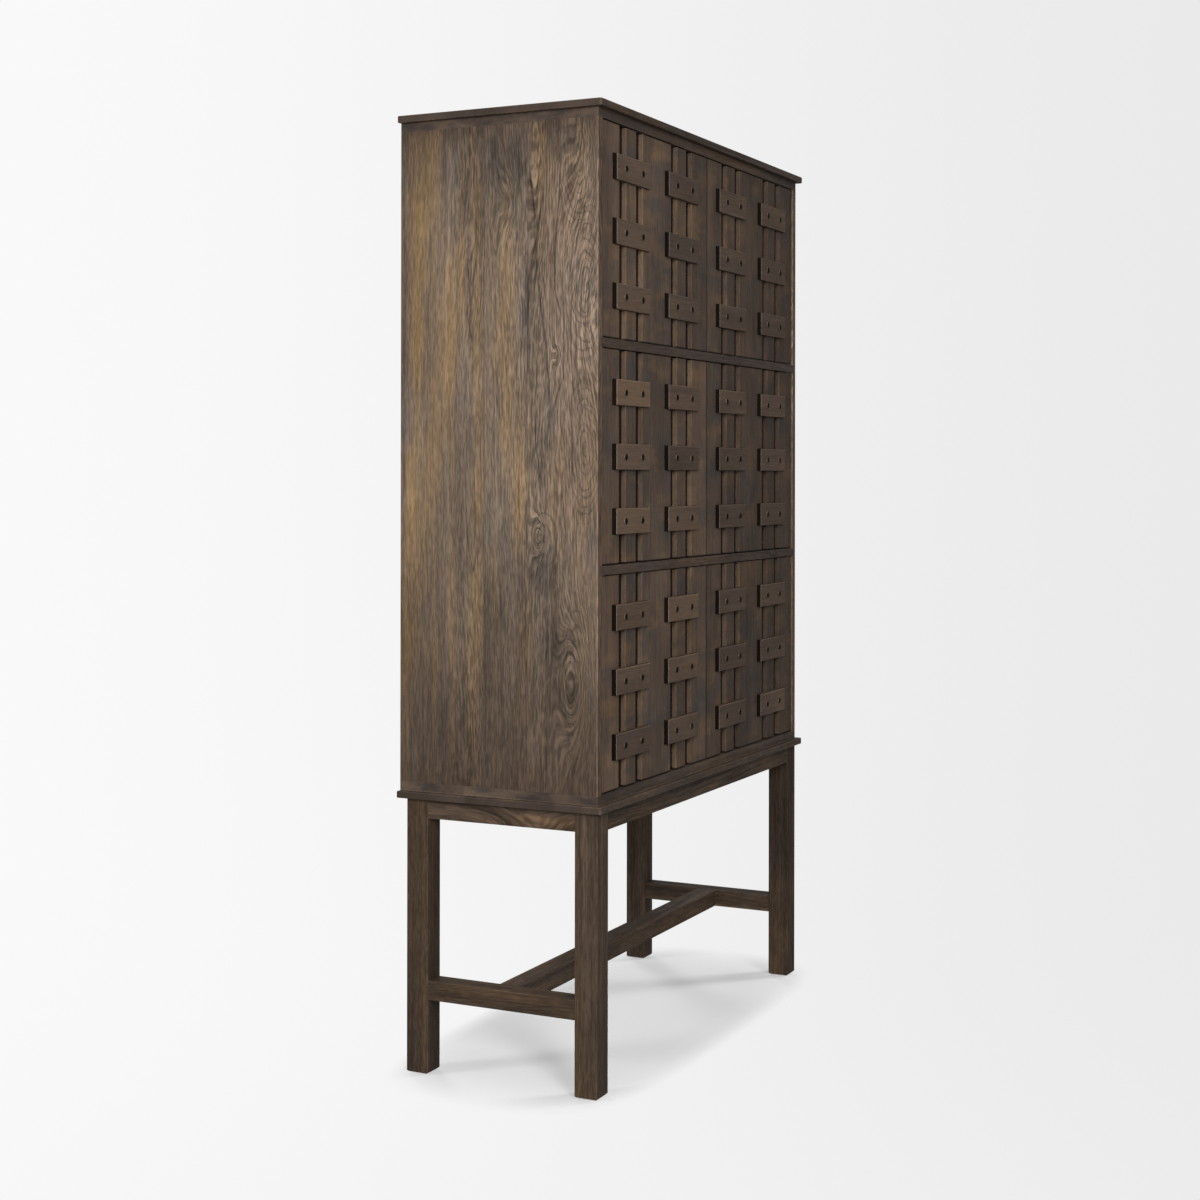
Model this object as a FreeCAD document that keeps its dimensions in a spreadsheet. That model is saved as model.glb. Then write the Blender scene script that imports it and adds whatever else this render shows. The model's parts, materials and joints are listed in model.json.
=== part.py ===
import FreeCAD, Part
import os
import re
import Sketcher
from FreeCAD import Placement, Rotation, Vector

# Tall six-door cabinet on an open leg frame. Millimetres, +Z up, front towards -Y.
# The origin is on the floor, under the middle of the overall block.

doc = FreeCAD.newDocument("TallCabinet")

# Driving sizes, each written once

DRIVING = (
    ("overall_width", 1100.0, "across the two slabs"),
    ("overall_depth", 450.0, "front to back of the slabs"),
    ("overall_height", 1900.0, "floor to the top of the top slab"),
    ("slab_thick", 14.0, "top and bottom slab"),
    ("slab_overhang", 13.0, "slab beyond the case at the front and the ends"),
    ("slab_corner", 6.0, "plan radius of the slab's front corners"),
    ("slab_arris", 2.0, "rounding along the slab's edges"),
    ("board_thick", 18.0, "sides, dividers, case top and case floor"),
    ("board_arris", 0.8, "rounding along a case board's edge"),
    ("housing_depth", 6.0, "how deep a divider sits in each side"),
    ("back_thick", 6.0, "plywood back"),
    ("back_rebate", 9.0, "overlap of the back on the case boards"),
    ("back_play", 0.5, "room round the back in its rebate"),
    ("stand_height", 546.0, "floor to the underside of the bottom slab"),
    ("leg_size", 48.0, "square leg"),
    ("leg_arris", 1.2, "rounding along a leg"),
    ("leg_foot_chamfer", 3.0, "chamfer round the foot of a leg"),
    ("stand_setback", 16.0, "back legs in from the back of the case"),
    ("apron_height", 38.0, "rail under the slab"),
    ("apron_thick", 22.0, "rail under the slab"),
    ("stretcher_top", 187.0, "floor to the top of the stretchers"),
    ("stretcher_height", 38.0, "all three stretchers"),
    ("end_stretcher_width", 45.0, "stretcher at each end"),
    ("centre_stretcher_width", 48.0, "long stretcher"),
    ("rail_arris", 1.2, "rounding along a rail"),
    ("tenon_long", 24.0, "reach of a tenon"),
    ("tenon_thick", 9.0, "thickness of an apron's tenon"),
    ("tenon_shoulder", 6.0, "rail above and below its tenon"),
    ("stub_thick", 18.0, "thickness of a stretcher's tenon"),
    ("joint_gap", 0.1, "glue line round a tenon, dowel or peg"),
    ("tenon_end_gap", 1.0, "room past the end of a tenon or dowel"),
    ("door_gap", 2.0, "gap round each door"),
    ("door_thick", 22.0, "solid wood door"),
    ("door_recess", 3.5, "door face behind the front of the case"),
    ("door_arris", 1.0, "rounding round a door's face"),
    ("groove_width", 30.0, "upright groove"),
    ("groove_depth", 10.0, "upright groove"),
    ("groove_arris", 1.0, "chamfer along a groove"),
    ("groove_spacing", 77.0, "middle to middle of a pair of grooves"),
    ("column_spacing", 247.0, "middle to middle of the two pairs"),
    ("block_long", 156.0, "block that bridges a pair of grooves"),
    ("block_tall", 50.0, "same block"),
    ("block_proud", 7.0, "block ahead of the door's face"),
    ("block_arris", 1.8, "rounding round the block's face"),
    ("block_spacing", 125.0, "middle to middle of two blocks in a column"),
    ("pocket_depth", 5.0, "pocket that a block sits in"),
    ("pocket_end_room", 7.0, "open end of the pocket beside the block"),
    ("pocket_play", 0.6, "room above and below the block"),
    ("peg_diameter", 13.0, "round peg"),
    ("peg_proud", 1.6, "peg ahead of the block"),
    ("peg_dome", 1.4, "rounding of the peg's head"),
    ("peg_seat", 4.0, "peg beyond the floor of the groove"),
    ("pivot_diameter", 6.0, "steel pivot pin"),
    ("pivot_inset", 11.0, "pivot axis in from the door's outer edge"),
    ("pivot_setback", 6.0, "pivot axis behind the door's face"),
    ("pivot_in_door", 24.0, "length of pin in the door"),
    ("pivot_in_bush", 7.0, "length of pin in the bush"),
    ("pivot_running_gap", 0.05, "pin to bush, on the radius"),
    ("pivot_end_play", 0.2, "collar to bush"),
    ("collar_diameter", 11.0, "collar between door and board"),
    ("bush_diameter", 10.0, "brass bush"),
    ("bush_long", 8.0, "brass bush"),
    ("catch_long", 30.0, "magnetic catch, along the door"),
    ("catch_deep", 14.0, "magnetic catch, front to back"),
    ("catch_tall", 12.0, "magnetic catch, below its board"),
    ("catch_from_middle", 14.0, "catch to the line where the doors meet"),
    ("catch_gap", 0.3, "magnet to strike plate"),
    ("magnet_border", 3.0, "plastic round the magnet"),
    ("magnet_deep", 6.0, "magnet, front to back"),
    ("strike_thick", 1.0, "steel strike plate"),
    ("dowel_diameter", 8.0, "case dowel"),
    ("dowel_in_side", 18.0, "dowel in the end of a side"),
    ("dowel_in_board", 11.0, "dowel in the case top or floor"),
    ("dowel_margin", 45.0, "first dowel in from the front"),
    ("screw_diameter", 4.0, "case and stand screws"),
    ("screw_head_diameter", 8.0, "same screws"),
    ("screw_head_tall", 3.0, "same screws"),
    ("screw_grip", 9.0, "screw in the piece that it holds"),
    ("screw_gap", 0.1, "round a screw"),
    ("case_screw_x", 420.0, "outer case screws from the middle"),
    ("case_screw_margin", 70.0, "case screws in from front and back"),
    ("corner_block_long", 60.0, "block behind the front and back aprons"),
    ("corner_block_thick", 24.0, "same block"),
    ("corner_block_tall", 34.0, "same block"),
    ("corner_screw_margin", 14.0, "cross screws in from the block's ends"),
    ("back_screw_diameter", 3.0, "screw through the back"),
    ("back_screw_head", 6.0, "diameter of its head"),
    ("back_screw_head_tall", 1.6, "same screw"),
    ("back_screw_grip", 12.0, "same screw in the side"),
    ("back_screw_margin", 40.0, "end screws in from the back's ends"),
    ("glide_thick", 2.0, "nylon foot glide"),
    ("glide_diameter", 26.0, "nylon foot glide"),
    ("nail_diameter", 4.0, "nail of the glide"),
    ("nail_long", 14.0, "nail of the glide"),
    ("cut_overrun", 2.0, "how far a through cut runs past the wood"),
)

TIER_COUNT = 3
DOWEL_COUNT = 4
BACK_SCREW_COUNT = 7

# Places and sizes worked out from the driving ones

WORKED = (
    ("case_width", "overall_width - 2 * slab_overhang"),
    ("case_half", "case_width / 2"),
    ("case_depth", "overall_depth - slab_overhang"),
    ("case_front", "slab_overhang - overall_depth / 2"),
    ("case_back", "overall_depth / 2"),
    ("case_base", "stand_height + slab_thick"),
    ("case_crown", "overall_height - slab_thick"),
    ("side_height", "case_crown - case_base - 2 * board_thick"),
    ("inside_half", "case_half - board_thick"),
    ("tier_height", f"(side_height - {TIER_COUNT - 1} * board_thick) / {TIER_COUNT}"),
    ("tier_step", "tier_height + board_thick"),
    ("first_tier", "case_base + board_thick"),
    ("divider_depth", "case_depth - back_thick"),
    ("back_width", "2 * (inside_half + back_rebate - back_play)"),
    ("back_height", "side_height + 2 * (back_rebate - back_play)"),
    ("leg_long", "stand_height - glide_thick"),
    ("leg_x", "case_half - leg_size / 2"),
    ("leg_front_y", "case_front + leg_size / 2"),
    ("leg_back_y", "case_back - stand_setback - leg_size / 2"),
    ("leg_span_x", "2 * (leg_x - leg_size / 2)"),
    ("leg_span_y", "leg_back_y - leg_front_y - leg_size"),
    ("stand_middle_y", "(leg_front_y + leg_back_y) / 2"),
    ("apron_base", "stand_height - apron_height"),
    ("stretcher_base", "stretcher_top - stretcher_height"),
    ("apron_tenon_tall", "apron_height - 2 * tenon_shoulder"),
    ("stub_tall", "stretcher_height - 2 * tenon_shoulder"),
    ("centre_span", "2 * (case_half - end_stretcher_width)"),
    ("door_width", "(2 * inside_half - 3 * door_gap) / 2"),
    ("door_height", "tier_height - 2 * door_gap"),
    ("door_middle_x", "inside_half - door_gap - door_width / 2"),
    ("door_back", "case_front + door_recess + door_thick"),
    ("pivot_x", "inside_half - door_gap - pivot_inset"),
    ("pivot_y", "door_recess + pivot_setback"),
    ("collar_thick", "door_gap - pivot_end_play"),
    ("catch_x", "catch_from_middle + catch_long / 2"),
    ("magnet_long", "catch_long - 2 * magnet_border"),
    ("magnet_tall", "catch_tall - 2 * magnet_border"),
    ("corner_block_x", "leg_span_x / 2 - corner_block_long / 2"),
    ("screw_radius", "screw_diameter / 2"),
    ("screw_hole", "screw_diameter / 2 + screw_gap"),
    ("screw_head_hole", "screw_head_diameter / 2 + screw_gap"),
)


def fill_sheet(sheet, rows):
    """Write each row's text in column B and give the cell the row's name."""
    for number, (name, text) in enumerate(rows, start=1):
        sheet.set(f"A{number}", name)
        sheet.set(f"B{number}", text)
        sheet.setAlias(f"B{number}", name)


sizes = doc.addObject("Spreadsheet::Sheet", "Sizes")
worked = doc.addObject("Spreadsheet::Sheet", "Worked")
DRIVING_NAMES = {name for name, value, note in DRIVING}
WORKED_NAMES = {name for name, text in WORKED}


def formula(words, inside=False):
    """Turn size names into cell references, the worked ones too unless inside their sheet."""
    def reference(match):
        word = match.group(0)
        if word in DRIVING_NAMES:
            return "Sizes." + word
        if word in WORKED_NAMES and not inside:
            return "Worked." + word
        return word
    return re.sub(r"[a-z_]+", reference, words)


fill_sheet(sizes, [(name, str(value)) for name, value, note in DRIVING])
doc.recompute()
fill_sheet(worked, [(name, "=" + formula(text, inside=True)) for name, text in WORKED])
doc.recompute()


def size(name):
    """The present value of a named size."""
    sheet = sizes if name in DRIVING_NAMES else worked
    return float(sheet.get(name))


def bind(thing, prop, words):
    thing.setExpression(prop, formula(words))


def place(thing, x, y, z):
    """Bind where a piece sits."""
    for axis, words in zip("xyz", (x, y, z)):
        bind(thing, f"Placement.Base.{axis}", words)


# Shared ways of making a piece

SAME_PLACE = 1e-4
cuts = []


def new_body(node):
    body = doc.addObject("PartDesign::Body", node)
    body.Label = node
    return body


def turn(body, axis, degrees):
    body.Placement = Placement(Vector(), Rotation(axis, degrees))


def new_sketch(body, plane, offset="0"):
    """A sketch on one of the body's own planes, moved along the plane's normal."""
    sketch = body.newObject("Sketcher::SketchObject", body.Name + "_sketch")
    origin = [item for item in body.Origin.OriginFeatures if item.Role == plane + "_Plane"]
    sketch.AttachmentSupport = [(origin[0], "")]
    sketch.MapMode = "FlatFace"
    bind(sketch, "AttachmentOffset.Base.z", offset)
    return sketch


def dimension(sketch, kind, places, words):
    """Add a dimension that follows a formula."""
    index = sketch.addConstraint(Sketcher.Constraint(kind, *places, 1.0))
    name = f"size_{index}"
    sketch.renameConstraint(index, name)
    bind(sketch, f"Constraints.{name}", words)


def rectangle(sketch, left, bottom, width, height):
    corners = [Vector(0, 0, 0), Vector(1, 0, 0), Vector(1, 1, 0), Vector(0, 1, 0)]
    lines = [Part.LineSegment(corners[i], corners[(i + 1) % 4]) for i in range(4)]
    base = sketch.addGeometry(lines, False)[0]
    for i in range(4):
        following = base + (i + 1) % 4
        sketch.addConstraint(Sketcher.Constraint("Coincident", base + i, 2, following, 1))
    sketch.addConstraint(Sketcher.Constraint("Horizontal", base))
    sketch.addConstraint(Sketcher.Constraint("Horizontal", base + 2))
    sketch.addConstraint(Sketcher.Constraint("Vertical", base + 1))
    sketch.addConstraint(Sketcher.Constraint("Vertical", base + 3))
    dimension(sketch, "DistanceX", (-1, 1, base, 1), left)
    dimension(sketch, "DistanceY", (-1, 1, base, 1), bottom)
    dimension(sketch, "DistanceX", (base, 1, base, 2), width)
    dimension(sketch, "DistanceY", (base + 1, 1, base + 1, 2), height)


def middle_rectangle(sketch, x, y, width, height):
    """A rectangle given by its middle."""
    rectangle(sketch, f"{x} - ({width}) / 2", f"{y} - ({height}) / 2", width, height)


def circle(sketch, x, y, radius):
    index = sketch.addGeometry(Part.Circle(Vector(), Vector(0, 0, 1), 1.0), False)
    dimension(sketch, "Radius", (index,), radius)
    dimension(sketch, "DistanceX", (-1, 1, index, 3), x)
    dimension(sketch, "DistanceY", (-1, 1, index, 3), y)


def pad(body, sketch, length):
    feature = body.newObject("PartDesign::Pad", body.Name + "_pad")
    feature.Profile = sketch
    bind(feature, "Length", length)
    return feature


def pocket(body, sketch, depth, along_normal=False):
    """Cut against the sketch's normal, or along it."""
    feature = body.newObject("PartDesign::Pocket", body.Name + "_pocket")
    feature.Profile = sketch
    feature.Reversed = along_normal
    bind(feature, "Length", depth)
    cuts.append(feature)
    return feature


def edges_of(feature, test):
    doc.recompute()
    edges = enumerate(feature.Shape.Edges, start=1)
    return [f"Edge{number}" for number, edge in edges if test(edge.BoundBox)]


def same(first, second):
    return abs(first - second) < SAME_PLACE


def dress(body, kind, base, test, radius):
    """Round or chamfer the edges that pass the test."""
    feature = body.newObject("PartDesign::" + kind, body.Name + "_" + kind.lower())
    feature.Base = (base, edges_of(base, test))
    bind(feature, "Radius" if kind == "Fillet" else "Size", radius)
    return feature


def cylinder(name, radius, height, x, y, z, axis=None):
    """A bound cylinder, up +Z unless it is turned about X."""
    thing = doc.addObject("Part::Cylinder", name)
    bind(thing, "Radius", radius)
    bind(thing, "Height", height)
    if axis is not None:
        thing.Placement = Placement(Vector(), axis)
    place(thing, x, y, z)
    return thing


def block(name, length, width, height, x, y, z):
    """A bound box, given by its lowest corner."""
    thing = doc.addObject("Part::Box", name)
    bind(thing, "Length", length)
    bind(thing, "Width", width)
    bind(thing, "Height", height)
    place(thing, x, y, z)
    return thing


def group(name, things):
    """Several solids of one kind, or of one piece, as one sub-part."""
    thing = doc.addObject("Part::MultiFuse", name)
    thing.Label = name
    thing.Shapes = things
    return thing


def less(name, base, tool):
    thing = doc.addObject("Part::Cut", name)
    thing.Label = name
    thing.Base = base
    thing.Tool = tool
    return thing


SIDES = {"left": -1, "right": 1}
ROWS = {"front": -1, "back": 1}
TIERS = {"lower": 0, "middle": 1, "upper": 2}
TOWARDS_BACK = Rotation(Vector(1, 0, 0), -90)
TOWARDS_FRONT = Rotation(Vector(1, 0, 0), 90)

# Leg frame: square legs, mortised for the aprons and the stretchers


def make_leg(side, row):
    left_right = SIDES[side]
    front_back = ROWS[row]
    leg = new_body(f"leg_{row}_{side}")
    section = new_sketch(leg, "XY")
    middle_rectangle(section, "0", "0", "leg_size", "leg_size")
    post = pad(leg, section, "leg_long")
    foot = dress(leg, "Chamfer", post, lambda box: same(box.ZMax, 0), "leg_foot_chamfer")
    half = size("leg_size") / 2
    upright = dress(
        leg, "Fillet", foot,
        lambda box: same(abs(box.XMin), half) and same(abs(box.YMin), half)
        and box.ZLength > half, "leg_arris")
    assert len(upright.Base[1]) == 4

    tenon_mid_z = "(apron_base + apron_height / 2 - glide_thick)"
    inner_face = f"{-left_right} * leg_size / 2"
    mortise = new_sketch(leg, "YZ", inner_face)
    middle_rectangle(
        mortise, f"{front_back} * (leg_size - apron_thick) / 2", tenon_mid_z,
        "tenon_thick + 2 * joint_gap", "apron_tenon_tall + 2 * joint_gap")
    pocket(leg, mortise, "tenon_long + tenon_end_gap", along_normal=left_right > 0)

    pair = new_sketch(leg, "XZ", f"{front_back} * leg_size / 2")
    middle_rectangle(
        pair, f"{left_right} * (leg_size - apron_thick) / 2", tenon_mid_z,
        "tenon_thick + 2 * joint_gap", "apron_tenon_tall + 2 * joint_gap")
    middle_rectangle(
        pair, f"{left_right} * (leg_size - end_stretcher_width) / 2",
        "(stretcher_base + stretcher_height / 2 - glide_thick)",
        "stub_thick + 2 * joint_gap", "stub_tall + 2 * joint_gap")
    pocket(leg, pair, "tenon_long + tenon_end_gap", along_normal=front_back < 0)

    nail_hole = new_sketch(leg, "XY")
    circle(nail_hole, "0", "0", "nail_diameter / 2 + joint_gap")
    pocket(leg, nail_hole, "nail_long + tenon_end_gap", along_normal=True)
    leg_y = "leg_front_y" if front_back < 0 else "leg_back_y"
    place(leg, f"{left_right} * leg_x", leg_y, "glide_thick")
    return leg


# Aprons and stretchers: rails with a tenon at each end, their inner face towards local +Y


def make_rail(name, span, height, thick, tenon_wide, tenon_tall, arris_top):
    rail = new_body(name)
    face = new_sketch(rail, "XZ", f"-({thick}) / 2")
    rectangle(face, f"-({span}) / 2", "0", span, height)
    bar = pad(rail, face, thick)
    long_edge = size("rail_arris") * 2
    rounded = dress(
        rail, "Fillet", bar,
        lambda box: box.XLength > long_edge and box.YLength < SAME_PLACE
        and box.ZLength < SAME_PLACE and (arris_top or same(box.ZMin, 0)), "rail_arris")
    assert len(rounded.Base[1]) == (4 if arris_top else 2)
    tongue = new_sketch(rail, "XZ", f"-({tenon_wide}) / 2")
    middle_rectangle(tongue, "0", f"({height}) / 2", f"{span} + 2 * tenon_long", tenon_tall)
    pad(rail, tongue, tenon_wide)
    return rail


def make_aprons():
    aprons = []
    for row, sign in ROWS.items():
        apron = make_rail(
            f"apron_{row}", "leg_span_x", "apron_height", "apron_thick",
            "tenon_thick", "apron_tenon_tall", False)
        pilots = new_sketch(apron, "XZ", "-apron_thick / 2")
        for end in SIDES.values():
            for step in (-1, 1):
                circle(
                    pilots,
                    f"{end} * corner_block_x + {step} * (corner_block_long / 2 - corner_screw_margin)",
                    "apron_height - corner_block_tall / 2", "screw_hole")
        pocket(apron, pilots, "screw_grip + tenon_end_gap", along_normal=True)
        turn(apron, Vector(0, 0, 1), 0 if sign < 0 else 180)
        row_y = "leg_front_y" if sign < 0 else "leg_back_y"
        place(apron, "0", f"{row_y} + {sign} * (leg_size - apron_thick) / 2", "apron_base")
        aprons.append(apron)
    for side, sign in SIDES.items():
        apron = make_rail(
            f"apron_{side}", "leg_span_y", "apron_height", "apron_thick",
            "tenon_thick", "apron_tenon_tall", False)
        turn(apron, Vector(0, 0, 1), sign * 90)
        place(apron, f"{sign} * (case_half - apron_thick / 2)", "stand_middle_y", "apron_base")
        aprons.append(apron)
    return aprons


def make_stretchers():
    stretchers = []
    for side, sign in SIDES.items():
        bar = make_rail(
            f"stretcher_{side}", "leg_span_y", "stretcher_height", "end_stretcher_width",
            "stub_thick", "stub_tall", True)
        mortise = new_sketch(bar, "XZ", "-end_stretcher_width / 2")
        middle_rectangle(
            mortise, "0", "stretcher_height / 2",
            "stub_thick + 2 * joint_gap", "stub_tall + 2 * joint_gap")
        pocket(bar, mortise, "tenon_long + tenon_end_gap", along_normal=True)
        turn(bar, Vector(0, 0, 1), sign * 90)
        place(bar, f"{sign} * (case_half - end_stretcher_width / 2)",
              "stand_middle_y", "stretcher_base")
        stretchers.append(bar)
    centre = make_rail(
        "stretcher_centre", "centre_span", "stretcher_height", "centre_stretcher_width",
        "stub_thick", "stub_tall", True)
    place(centre, "0", "stand_middle_y", "stretcher_base")
    stretchers.append(centre)
    return stretchers


# Corner blocks behind the long aprons, their screws, and the foot glides


def block_inner_y(sign):
    """The face of a corner block that looks to the middle of the stand."""
    row_y = "leg_front_y" if sign < 0 else "leg_back_y"
    return f"({row_y} + {sign} * (leg_size / 2 - apron_thick - corner_block_thick))"


def make_corner_blocks():
    blocks = []
    tools = []
    cross_screws = []
    slab_screws = []
    low_z = "stand_height - corner_block_tall"
    mid_z = "stand_height - corner_block_tall / 2"
    for end in SIDES.values():
        for sign in ROWS.values():
            middle_x = f"{end} * corner_block_x"
            inner_y = block_inner_y(sign)
            low_y = inner_y if sign > 0 else f"{inner_y} - corner_block_thick"
            blocks.append(block(
                "corner_block", "corner_block_long", "corner_block_thick", "corner_block_tall",
                f"{middle_x} - corner_block_long / 2", low_y, low_z))
            inward = TOWARDS_FRONT if sign < 0 else TOWARDS_BACK
            for step in (-1, 1):
                screw_x = f"{middle_x} + {step} * (corner_block_long / 2 - corner_screw_margin)"
                reach = "corner_block_thick + screw_grip"
                cross_screws.append(cylinder(
                    "cross_shank", "screw_radius", reach, screw_x, inner_y, mid_z, inward))
                cross_screws.append(cylinder(
                    "cross_head", "screw_head_diameter / 2", "screw_head_tall",
                    screw_x, inner_y, mid_z, inward))
                tools.append(cylinder(
                    "cross_hole", "screw_hole", reach, screw_x, inner_y, mid_z, inward))
                tools.append(cylinder(
                    "cross_head_hole", "screw_head_hole", "screw_head_tall",
                    screw_x, inner_y, mid_z, inward))
            middle_y = f"({inner_y} + {sign} * corner_block_thick / 2)"
            slab_screws.append(cylinder(
                "stand_shank", "screw_radius", "corner_block_tall + screw_grip",
                middle_x, middle_y, low_z))
            slab_screws.append(cylinder(
                "stand_head", "screw_head_diameter / 2", "screw_head_tall",
                middle_x, middle_y, low_z))
            tools.append(cylinder(
                "stand_hole", "screw_hole", "corner_block_tall + cut_overrun",
                middle_x, middle_y, low_z))
            tools.append(cylinder(
                "stand_head_hole", "screw_head_hole", "screw_head_tall",
                middle_x, middle_y, low_z))
    blocks = less("corner_blocks", group("corner_block_stock", blocks),
                  group("corner_block_holes", tools))
    return [blocks, group("corner_screws", cross_screws), group("stand_screws", slab_screws)]


def make_glides():
    things = []
    for end in SIDES.values():
        for leg_y in ("leg_front_y", "leg_back_y"):
            things.append(cylinder(
                "glide_disc", "glide_diameter / 2", "glide_thick", f"{end} * leg_x", leg_y, "0"))
            things.append(cylinder(
                "glide_nail", "nail_diameter / 2", "glide_thick + nail_long",
                f"{end} * leg_x", leg_y, "0"))
    return [group("foot_glides", things)]


# Slabs: thin boards with softly rounded edges, one on the stand and one on the case


def case_screw_places():
    """Middle of each case screw, from the middle and the front of the case."""
    columns = ("-case_screw_x", "0", "case_screw_x")
    rows = ("case_screw_margin", "case_depth - case_screw_margin")
    return [(x, y) for x in columns for y in rows]


def make_slab(name, base_z, pilot_from_top):
    slab = new_body(name)
    outline = new_sketch(slab, "XY")
    rectangle(outline, "-overall_width / 2", "-slab_overhang", "overall_width", "overall_depth")
    plate = pad(slab, outline, "slab_thick")
    front = -size("slab_overhang")
    corners = dress(
        slab, "Fillet", plate,
        lambda box: same(box.YMax, front) and box.XLength < SAME_PLACE, "slab_corner")
    assert len(corners.Base[1]) == 2
    thick = size("slab_thick")
    dress(
        slab, "Fillet", corners,
        lambda box: box.ZLength < SAME_PLACE and (same(box.ZMin, 0) or same(box.ZMin, thick)),
        "slab_arris")
    pilots = new_sketch(slab, "XY", "slab_thick" if pilot_from_top else "0")
    for x, y in case_screw_places():
        circle(pilots, x, y, "screw_hole")
    pocket(slab, pilots, "screw_grip + tenon_end_gap", along_normal=not pilot_from_top)
    if pilot_from_top:
        fixings = new_sketch(slab, "XY")
        for end in SIDES.values():
            for sign in ROWS.values():
                y = f"{block_inner_y(sign)} + {sign} * corner_block_thick / 2 - case_front"
                circle(fixings, f"{end} * corner_block_x", y, "screw_hole")
        pocket(slab, fixings, "screw_grip + tenon_end_gap", along_normal=True)
    place(slab, "0", "case_front", base_z)
    return slab


# Case boards: top and floor run over the ends of the sides


def dowel_y(number):
    return f"(dowel_margin + {number} * (case_depth - 2 * dowel_margin) / {DOWEL_COUNT - 1})"


def make_case_board(name, face_down):
    """The case floor as drawn, or the case top turned over."""
    board = new_body(name)
    outline = new_sketch(board, "XY")
    rectangle(outline, "-case_half", "0", "case_width", "case_depth")
    plank = pad(board, outline, "board_thick")
    dress(
        board, "Fillet", plank,
        lambda box: same(box.YMax, 0) and box.XLength < SAME_PLACE, "board_arris")
    rebate = new_sketch(board, "XY", "board_thick")
    rectangle(rebate, "-inside_half - back_rebate", "case_depth - back_thick",
              "2 * (inside_half + back_rebate)", "back_thick + cut_overrun")
    pocket(board, rebate, "back_rebate")

    sockets = new_sketch(board, "XY", "board_thick")
    holes = new_sketch(board, "XY", "board_thick")
    for sign in SIDES.values():
        circle(sockets, f"{sign} * pivot_x", "pivot_y", "bush_diameter / 2 + joint_gap")
        for number in range(DOWEL_COUNT):
            circle(holes, f"{sign} * (case_half - board_thick / 2)", dowel_y(number),
                   "dowel_diameter / 2 + joint_gap")
    pocket(board, sockets, "bush_long")
    pocket(board, holes, "dowel_in_board + tenon_end_gap")

    through = new_sketch(board, "XY", "board_thick")
    heads = new_sketch(board, "XY", "board_thick")
    for x, y in case_screw_places():
        circle(through, x, y, "screw_hole")
        circle(heads, x, y, "screw_head_hole")
    pocket(board, through, "board_thick + cut_overrun")
    pocket(board, heads, "screw_head_tall")
    if face_down:
        turn(board, Vector(0, 1, 0), 180)
    place(board, "0", "case_front", "case_crown" if face_down else "case_base")
    return board


def make_side(side):
    """A side panel, housed for the dividers and rebated for the back."""
    sign = SIDES[side]
    panel = new_body(f"side_{side}")
    outline = new_sketch(panel, "YZ")
    rectangle(outline, "0", "0", "case_depth", "side_height")
    plank = pad(panel, outline, "board_thick")
    outer_x = size("board_thick") if sign > 0 else 0.0
    dress(
        panel, "Fillet", plank,
        lambda box: same(box.YMax, 0) and same(box.XMin, outer_x) and same(box.XMax, outer_x)
        and box.ZLength > SAME_PLACE, "board_arris")
    inner = "board_thick" if sign < 0 else "0"
    rebate = new_sketch(panel, "YZ", inner)
    rectangle(rebate, "case_depth - back_thick", "-cut_overrun",
              "back_thick + cut_overrun", "side_height + 2 * cut_overrun")
    pocket(panel, rebate, "back_rebate", along_normal=sign > 0)
    housings = new_sketch(panel, "YZ", inner)
    for number in range(1, TIER_COUNT):
        rectangle(housings, "-cut_overrun", f"{number} * tier_step - board_thick",
                  "divider_depth + cut_overrun", "board_thick")
    pocket(panel, housings, "housing_depth", along_normal=sign > 0)
    for height, upwards in (("0", True), ("side_height", False)):
        holes = new_sketch(panel, "XY", height)
        for number in range(DOWEL_COUNT):
            circle(holes, "board_thick / 2", dowel_y(number), "dowel_diameter / 2 + joint_gap")
        pocket(panel, holes, "dowel_in_side + tenon_end_gap", along_normal=upwards)
    pilots = new_sketch(panel, "XZ", "-divider_depth")
    screw_x = "board_thick - back_rebate / 2" if sign < 0 else "back_rebate / 2"
    for number in range(BACK_SCREW_COUNT):
        circle(pilots, screw_x, back_screw_z(number), "back_screw_diameter / 2 + screw_gap")
    pocket(panel, pilots, "back_screw_grip + tenon_end_gap", along_normal=True)
    place(panel, "-case_half" if sign < 0 else "inside_half", "case_front", "first_tier")
    return panel


def make_divider(name, number):
    """A fixed shelf between two tiers, with pivot sockets in both faces."""
    board = new_body(name)
    outline = new_sketch(board, "XY")
    rectangle(outline, "-inside_half - housing_depth", "0",
              "2 * (inside_half + housing_depth)", "divider_depth")
    plank = pad(board, outline, "board_thick")
    dress(
        board, "Fillet", plank,
        lambda box: same(box.YMax, 0) and box.ZLength < SAME_PLACE and box.XLength > 0,
        "board_arris")
    for face, upwards in (("0", True), ("board_thick", False)):
        sockets = new_sketch(board, "XY", face)
        for sign in SIDES.values():
            circle(sockets, f"{sign} * pivot_x", "pivot_y", "bush_diameter / 2 + joint_gap")
        pocket(board, sockets, "bush_long", along_normal=upwards)
    place(board, "0", "case_front", f"first_tier + {number} * tier_step - board_thick")
    return board


# Back: one sheet, screwed to the sides from behind


def back_screw_z(number):
    """Height of a back screw above the foot of the sides."""
    step = f"(side_height - 2 * back_screw_margin) / {BACK_SCREW_COUNT - 1}"
    return f"(back_screw_margin + {number} * {step})"


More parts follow.
